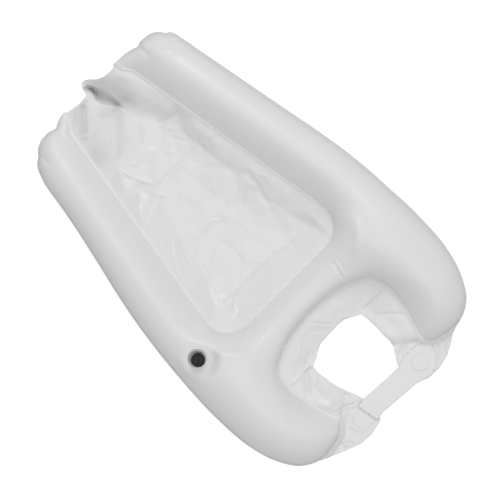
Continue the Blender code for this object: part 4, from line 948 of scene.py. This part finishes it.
COLLAR_STROKES = strokes((
    (((361.5, 313), (366, 306), (374, 299), (381, 291), (384, 287)), 1.5, -1.6, 30, 0.3, (-1.6, -1.2)),
    (((369, 313.8), (380, 314.6), (396, 313.4), (411, 313)), 2.2, -1.5, 32),
    (((370, 318), (380, 327), (389, 337), (395, 345)), 10.5, 4.4, 32),
    (((312, 410), (322, 408.5), (336, 403)), 11, 3.2, 32),
    (((398, 358), (402, 350), (407, 342)), 4.2, -2.4, 30),
    (((412, 318), (417, 322), (421, 332)), 1.8, 1.6, 36),
    (((416, 326), (419, 336)), 1.6, -1.2, 36),
    (((417, 331), (422, 339)), 1.6, 1.4, 34),
    (((310, 322.5), (322, 323.5), (335, 325)), 1.4, -1.3, 30, 0.3, (0.4, 2.2)),
    (((306, 331), (318, 331), (328, 332)), 1.6, -1, 30),
    (((297, 335), (306, 334)), 1.6, 0.8, 34),
    (((337, 318), (350, 316), (357, 315.5)), 2, 1, 28),
    (((313, 366), (308.5, 369.5), (302.5, 375)), 1.5, -1.8, 30, 0.3, (-1.4, -1.6)),
    (((303, 375), (295, 381), (287, 386)), 2.2, 1.6, 34),
    (((306, 366), (307, 383), (309, 400)), 4.5, -3.4, 32),
    (((311, 371), (317, 385), (328, 396), (345, 404)), 3.5, 2, 30),
    (((310, 350), (307, 360), (304, 368)), 2.4, -1.2, 32),
    (((301, 342), (299, 352), (298, 362)), 2.6, 1, 35),
    (((327, 385), (340, 392), (352, 398)), 2.4, -1.4, 28),
    (((360, 400.5), (352, 404), (345, 406), (336, 411), (327.5, 416.5)), 1.4, -1.8, 28, 0.3, (0.8, 1.6)),
    (((343, 410), (344.5, 417), (344, 424)), 1.6, 1.2, 25),
    (((349, 409), (346, 418), (350, 426)), 1.4, -1, 25),
    (((344, 425.5), (350, 426), (356, 430), (363, 431)), 1.4, 1, 25),
    (((338, 438.5), (343, 446), (352, 449)), 1.6, -1.4, 25),
    (((341, 441), (350, 439), (357, 444)), 1.6, 1, 25),
    (((432, 345), (434, 352), (432, 356)), 1.4, 1, 25),
    (((437, 340), (439, 352), (437, 364)), 1.4, 1.1, 25),
    (((443, 335), (446, 345), (444, 356)), 1.4, 1.1, 25),
    (((424.5, 353), (428, 356), (432, 361.5)), 1.2, -0.8, 25),
    (((433, 364), (440, 362), (445, 357)), 1.4, 1, 25)))

COLLAR_RELIEF = 1.5
# How far the collar falls from the seam and over what run: at the ring's top and on the flaps
COLLAR_DROPS = (0.0105, 0.010)
COLLAR_RUNS = (0.044, 0.007)
FLAP_RUN = 0.03
# Weld bead along the ring's seam: mesh rows, and its ridge and groove by their distance from the seam
BEAD_ROWS = (0.0045, 0.0057, 0.0069, 0.0081)
BEAD_RISES = ((0.0052, 0.0006), (0.0070, -0.0005))
BEAD_WIDTH = 0.0011
# Free edges of the collar: left flap from the horn inwards, the neck hole clockwise, right flap outwards
LEFT_FLAP = ((320, 460), (330.7, 456.3), (347.2, 450), (361.1, 443.4), (371.3, 434.5), (378.9, 423.1),
             (380.6, 419), (378, 414), (370, 407), (365, 402), (363, 398.6))
NECK_HOLE = ((363, 398.6), (357, 395.2), (344.7, 389.7), (337.8, 386.6), (331.2, 382.5), (324.9, 377.6),
             (317.2, 371.8), (313.4, 367.2), (313.8, 363.2), (316.8, 357.3), (317.6, 350.9), (320.6, 343.3),
             (325.7, 337.5), (333.2, 329.7), (338.2, 324.3), (344.4, 319.3), (352, 316.8), (357, 315.6),
             (361, 314), (364.5, 316), (373.8, 324.3), (383.5, 335), (389.8, 340.5), (393.9, 347),
             (395.7, 355), (396.8, 362), (399.1, 367))
RIGHT_FLAP = ((399.1, 367), (401, 374), (408, 381), (417, 382.5), (429.5, 377.5), (439.7, 367.4),
              (447.3, 354.7), (451, 343.3), (452.3, 334.5), (455, 327))


def collar_heights(flat, from_seam):
    low_y = HORN_SHOULDER_Y - HORN_TIP_DEPTH / 2
    share = np.clip((HORN_SHOULDER_Y - flat[:, 1]) / (HORN_SHOULDER_Y - low_y), 0, 1)
    run, drop = (first + (last - first) * share for first, last in (COLLAR_RUNS, COLLAR_DROPS))
    fall = np.clip((from_seam - WELD_REACH) / run, 0, 1)
    return SEAM_HEIGHT - drop * fall ** 1.5


def make_collar():
    _, _, tip, ring = SEAM_PARTS
    seam, normals = seam_run(len(tip) + len(ring) - 2, 0)
    welded = seam + normals * GAP
    ends = seam + normals * WELD_REACH
    left, hole, right = (resample([photo(x, y, 0.03) for x, y in line], HEM_STEP)
                         for line in (LEFT_FLAP, NECK_HOLE, RIGHT_FLAP))
    outline = np.vstack((welded, ends[-1:], left, hole[1:], right[1:], ends[:1]))
    points = stroke_points(COLLAR_STROKES, outline, outline, STROKE_SPACING)
    bead = np.vstack([seam + normals * row for row in BEAD_ROWS])
    inner = list(ends[1:-1]) + list(bead[inside(bead, outline)]) + list(lattice(outline, COLLAR_MESH[0]))
    points += thinned(inner, list(outline) + points, COLLAR_MESH[1])
    flat, faces = triangulate(outline, [], points)
    from_seam = distance_to(flat, SEAM, True)
    heights = collar_heights(flat, from_seam)
    for row, rise in BEAD_RISES:
        heights += rise * np.exp(-((from_seam - row) / BEAD_WIDTH) ** 2)
    fade = np.clip((from_seam - WELD_REACH) / CREASE_FADE, 0, 1)
    for stroke in COLLAR_STROKES:
        heights += COLLAR_RELIEF * stroke.at(flat) * fade
    flap = np.clip((HORN_SHOULDER_Y - flat[:, 1]) / FLAP_RUN, 0, 1)
    wide, fine = (crumpled(flat, *row) for row in COLLAR_FACETS)
    heights += fade * (wide * (1 - 0.5 * flap) + fine * flap)
    piece = surface("neck_collar_film", np.column_stack((flat, heights)), facing(flat, faces, True), FILM,
                    FILM_THICKNESS, 0, "basin", ["neck_collar"])


# The strap, from its root patch on the right flap to its free end over the left one

STRAP_THICKNESS = 0.0006
STRAP_ROOT_LEVEL = 0.03090
STRAP_END_LEVEL = 0.03355
STRAP_STEP = 0.002
STRAP_SPACING = 0.0014
# Where the band starts to rise towards its free end, and its pressed lines
STRAP_RISE_X = 0.022
STRAP_RISE_RUN = 0.050
PRESS_DEPTH = 0.00015
PRESS_WIDTH = 0.0008
PRESS_INSET = 0.0035
STRAP_OUTLINE = ((399.1, 367.2), (363, 399.1), (358.2, 405.6), (360, 408), (376.5, 419.5), (379, 418.5),
                 (382.5, 412.3), (416.9, 383.2), (419.4, 382.2), (426, 379), (432, 373.5), (436, 366.5),
                 (436.5, 358), (434.5, 350), (430.8, 343.5), (424.5, 343.3), (418, 344.6), (413.5, 347.2),
                 (409.3, 351), (403.8, 356), (400.6, 361))


def make_strap():
    outline = resample([photo(x, y, 0.032) for x, y in STRAP_OUTLINE + STRAP_OUTLINE[:1]], STRAP_STEP)[:-1]
    points = thinned(lattice(outline, STRAP_STEP), outline, STRAP_SPACING)
    flat, faces = triangulate(outline, [], points)
    share = eased((STRAP_RISE_X - flat[:, 0]) / STRAP_RISE_RUN)
    heights = STRAP_ROOT_LEVEL + (STRAP_END_LEVEL - STRAP_ROOT_LEVEL) * share
    from_line = distance_to(flat, outline, True) - PRESS_INSET
    from_disc = np.linalg.norm(flat - DISC, axis=1) - DISC_RADIUS
    for away in (from_line, from_disc):
        heights -= PRESS_DEPTH * np.exp(-(away / PRESS_WIDTH) ** 2)
    piece = surface("strap_band", np.column_stack((flat, heights)), facing(flat, faces, True), STRAP_VINYL,
                    STRAP_THICKNESS, 0, None, ["neck_strap", "strap_root"])
    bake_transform(piece)


# The valve's soft lip, which leans to one side, and its cap

LIP_INNER_RADIUS = VALVE_HOLE_RADIUS
LIP_OUTER_RADIUS = 0.0134
LIP_LEAN = 0.0027
LIP_LEAN_ANGLE = math.radians(84)
LIP_THICKNESS = 0.0004
# Lip's rings, in millimetres: how far outside its radius and how far above the pad
LIP_RINGS = ((-2.2, 5.1), (-1.6, 5.2), (-0.6, 4.6), (0.0, 3.2), (0.4, 1.0), (1.1, 0.15))
CAP_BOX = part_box("valve_cap")
CAP_AXIS = middle_of(CAP_BOX)
CAP_RADIUS = (CAP_BOX[1].x - CAP_BOX[0].x) / 2
# Cap's rings, in millimetres: how far inside its radius and how far below its top
CAP_RINGS = ((0.0, 3.6), (0.0, 2.2), (0.12, 1.3), (0.5, 0.6), (1.1, 0.15), (1.7, 0.0), (2.1, 0.25),
             (2.3, 0.8), (2.5, 1.2), (2.9, 1.3))
CAP_THICKNESS = 0.0008
CAP_FACE_STEP = 0.00045
CAP_MOTTLE = 0.00022
CAP_MOTTLE_SCALE = 450
CAP_FLUTES = 16
CAP_FLUTE_DEPTH = 0.00035
GRIP_HALF_WIDTH = 0.0013
GRIP_RISE = 0.0010
GRIP_EDGE = 0.0005
CAP_SEGMENTS = 96
CAP_ANGLES = np.arange(CAP_SEGMENTS) * 2 * math.pi / CAP_SEGMENTS


def ring_faces(rows, fan):
    """Quads between rings of points, and a fan to the last point where there is one."""
    pairs = [(i, (i + 1) % CAP_SEGMENTS) for i in range(CAP_SEGMENTS)]
    starts = [row * CAP_SEGMENTS for row in range(rows)]
    faces = [(a + i, a + j, b + j, b + i) for a, b in zip(starts, starts[1:]) for i, j in pairs]
    if fan:
        faces += [(starts[-1] + i, starts[-1] + j, rows * CAP_SEGMENTS) for i, j in pairs]
    return faces


def make_lip():
    lean = CAP_ANGLES - LIP_LEAN_ANGLE
    outer = LIP_LEAN * np.cos(lean) + np.sqrt(LIP_OUTER_RADIUS ** 2 - (LIP_LEAN * np.sin(lean)) ** 2)
    points = []
    for out, rise in LIP_RINGS:
        radius = np.maximum(outer + out / 1000, LIP_INNER_RADIUS)
        points += list(np.column_stack((VALVE[0] + radius * np.cos(CAP_ANGLES),
                                        VALVE[1] + radius * np.sin(CAP_ANGLES),
                                        np.full(CAP_SEGMENTS, PAD_HEIGHT + rise / 1000))))
    faces = [face[::-1] for face in ring_faces(len(LIP_RINGS), False)]
    surface("valve_neck_lip", points, faces, LIP, LIP_THICKNESS, -1, "basin", [])


def make_cap():
    rings = [(CAP_RADIUS, CAP_BOX[0].z)]
    rings += [(CAP_RADIUS - inset / 1000, CAP_BOX[1].z - drop / 1000) for inset, drop in CAP_RINGS]
    face_radius, floor = rings[-1]
    for radius in np.arange(face_radius - CAP_FACE_STEP, CAP_FACE_STEP, -CAP_FACE_STEP):
        rings.append((radius, floor))
    flutes = CAP_FLUTE_DEPTH * (0.5 + 0.5 * np.cos(CAP_FLUTES * CAP_ANGLES)) ** 6
    points = []
    for radius, height in rings:
        away = radius - flutes * (radius > CAP_RADIUS - 0.0004)
        x, y = away * np.cos(CAP_ANGLES), away * np.sin(CAP_ANGLES)
        z = np.full(CAP_SEGMENTS, height)
        if radius < face_radius:
            aside = np.abs(x - y) / math.sqrt(2)
            z += GRIP_RISE * np.clip((GRIP_HALF_WIDTH - aside) / GRIP_EDGE + 0.5, 0, 1)
            z += CAP_MOTTLE * np.array([noise.noise(Vector((a, b, 0.004)) * CAP_MOTTLE_SCALE)
                                        for a, b in zip(x, y)])
        points += list(np.column_stack((CAP_AXIS[0] + x, CAP_AXIS[1] + y, z)))
    points.append((*CAP_AXIS, floor + GRIP_RISE))
    surface("cap_shell", points, ring_faces(len(rings), True), BLACK, CAP_THICKNESS, -1, "cap",
            ["valve_cap"])


# Finishes of the CAD nodes that stay

NODE_FINISHES = (("strap_weld_disc", STRAP_VINYL), ("hook_patch", FASTENER), ("loop_patch", FASTENER),
                 ("valve_flange", CLEAR), ("valve_seat", BLACK), ("cap_gasket", RUBBER),
                 ("check_flap", SILICONE))


def finish_nodes():
    for node, finish in NODE_FINISHES:
        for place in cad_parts[node].material_slots:
            place.link = "OBJECT"
            place.material = finish


# Camera, light and floor

FLOOR_REACH = 6.0
FLOOR_LEVEL = -0.0006
FLOOR_GLOW = 0.52
WORLD_STRENGTH = 0.60
# Name, place, diameter and power in watts
SOFTBOXES = (("key", (1.9, 1.5, 2.9), 1.6, 30.0),
             ("top", (0.05, -0.6, 3.7), 2.8, 19.8))


def make_stage():
    camera = bpy.data.cameras.new("camera")
    eye = placed("camera", camera)
    camera.sensor_width = 36.0
    camera.lens = camera.sensor_width * CAMERA_DISTANCE / (PHOTO_SIDE * PIXEL)
    eye.location = (*LOOK_AT, SEAM_HEIGHT + CAMERA_DISTANCE)
    eye.rotation_euler = (0, 0, math.radians(-45))
    bpy.context.scene.camera = eye

    mesh = bpy.data.meshes.new("floor")
    corners = ((-1, -1), (1, -1), (1, 1), (-1, 1))
    mesh.from_pydata([(x * FLOOR_REACH, y * FLOOR_REACH, 0) for x, y in corners], [], [(0, 1, 2, 3)])
    floor = placed("floor", mesh)
    floor.location.z = FLOOR_LEVEL
    mesh.materials.append(material("pale_floor", (0.80, 0.80, 0.80), 0.9, spread=0.004, bump=0.0, sockets={
        "Emission Color": (1, 1, 1, 1), "Emission Strength": FLOOR_GLOW}))
    floor.visible_diffuse = False
    floor.visible_glossy = False

    for name, place, size, power in SOFTBOXES:
        light = bpy.data.lights.new(name, "AREA")
        light.shape = "DISK"
        light.size = size
        light.energy = power
        lamp = placed(name, light)
        lamp.location = place
        lamp.rotation_mode = "QUATERNION"
        lamp.rotation_quaternion = (-Vector(place)).to_track_quat("-Z", "Y")

    world = bpy.data.worlds.new("studio")
    bpy.context.scene.world = world
    world.use_nodes = True
    background = world.node_tree.nodes["Background"]
    background.inputs["Color"].default_value = (1, 1, 1, 1)
    background.inputs["Strength"].default_value = WORLD_STRENGTH
    bpy.context.scene.view_settings.view_transform = "Standard"


make_stage()
make_chamber()
make_liner()
make_collar()
make_strap()
make_lip()
make_cap()
finish_nodes()
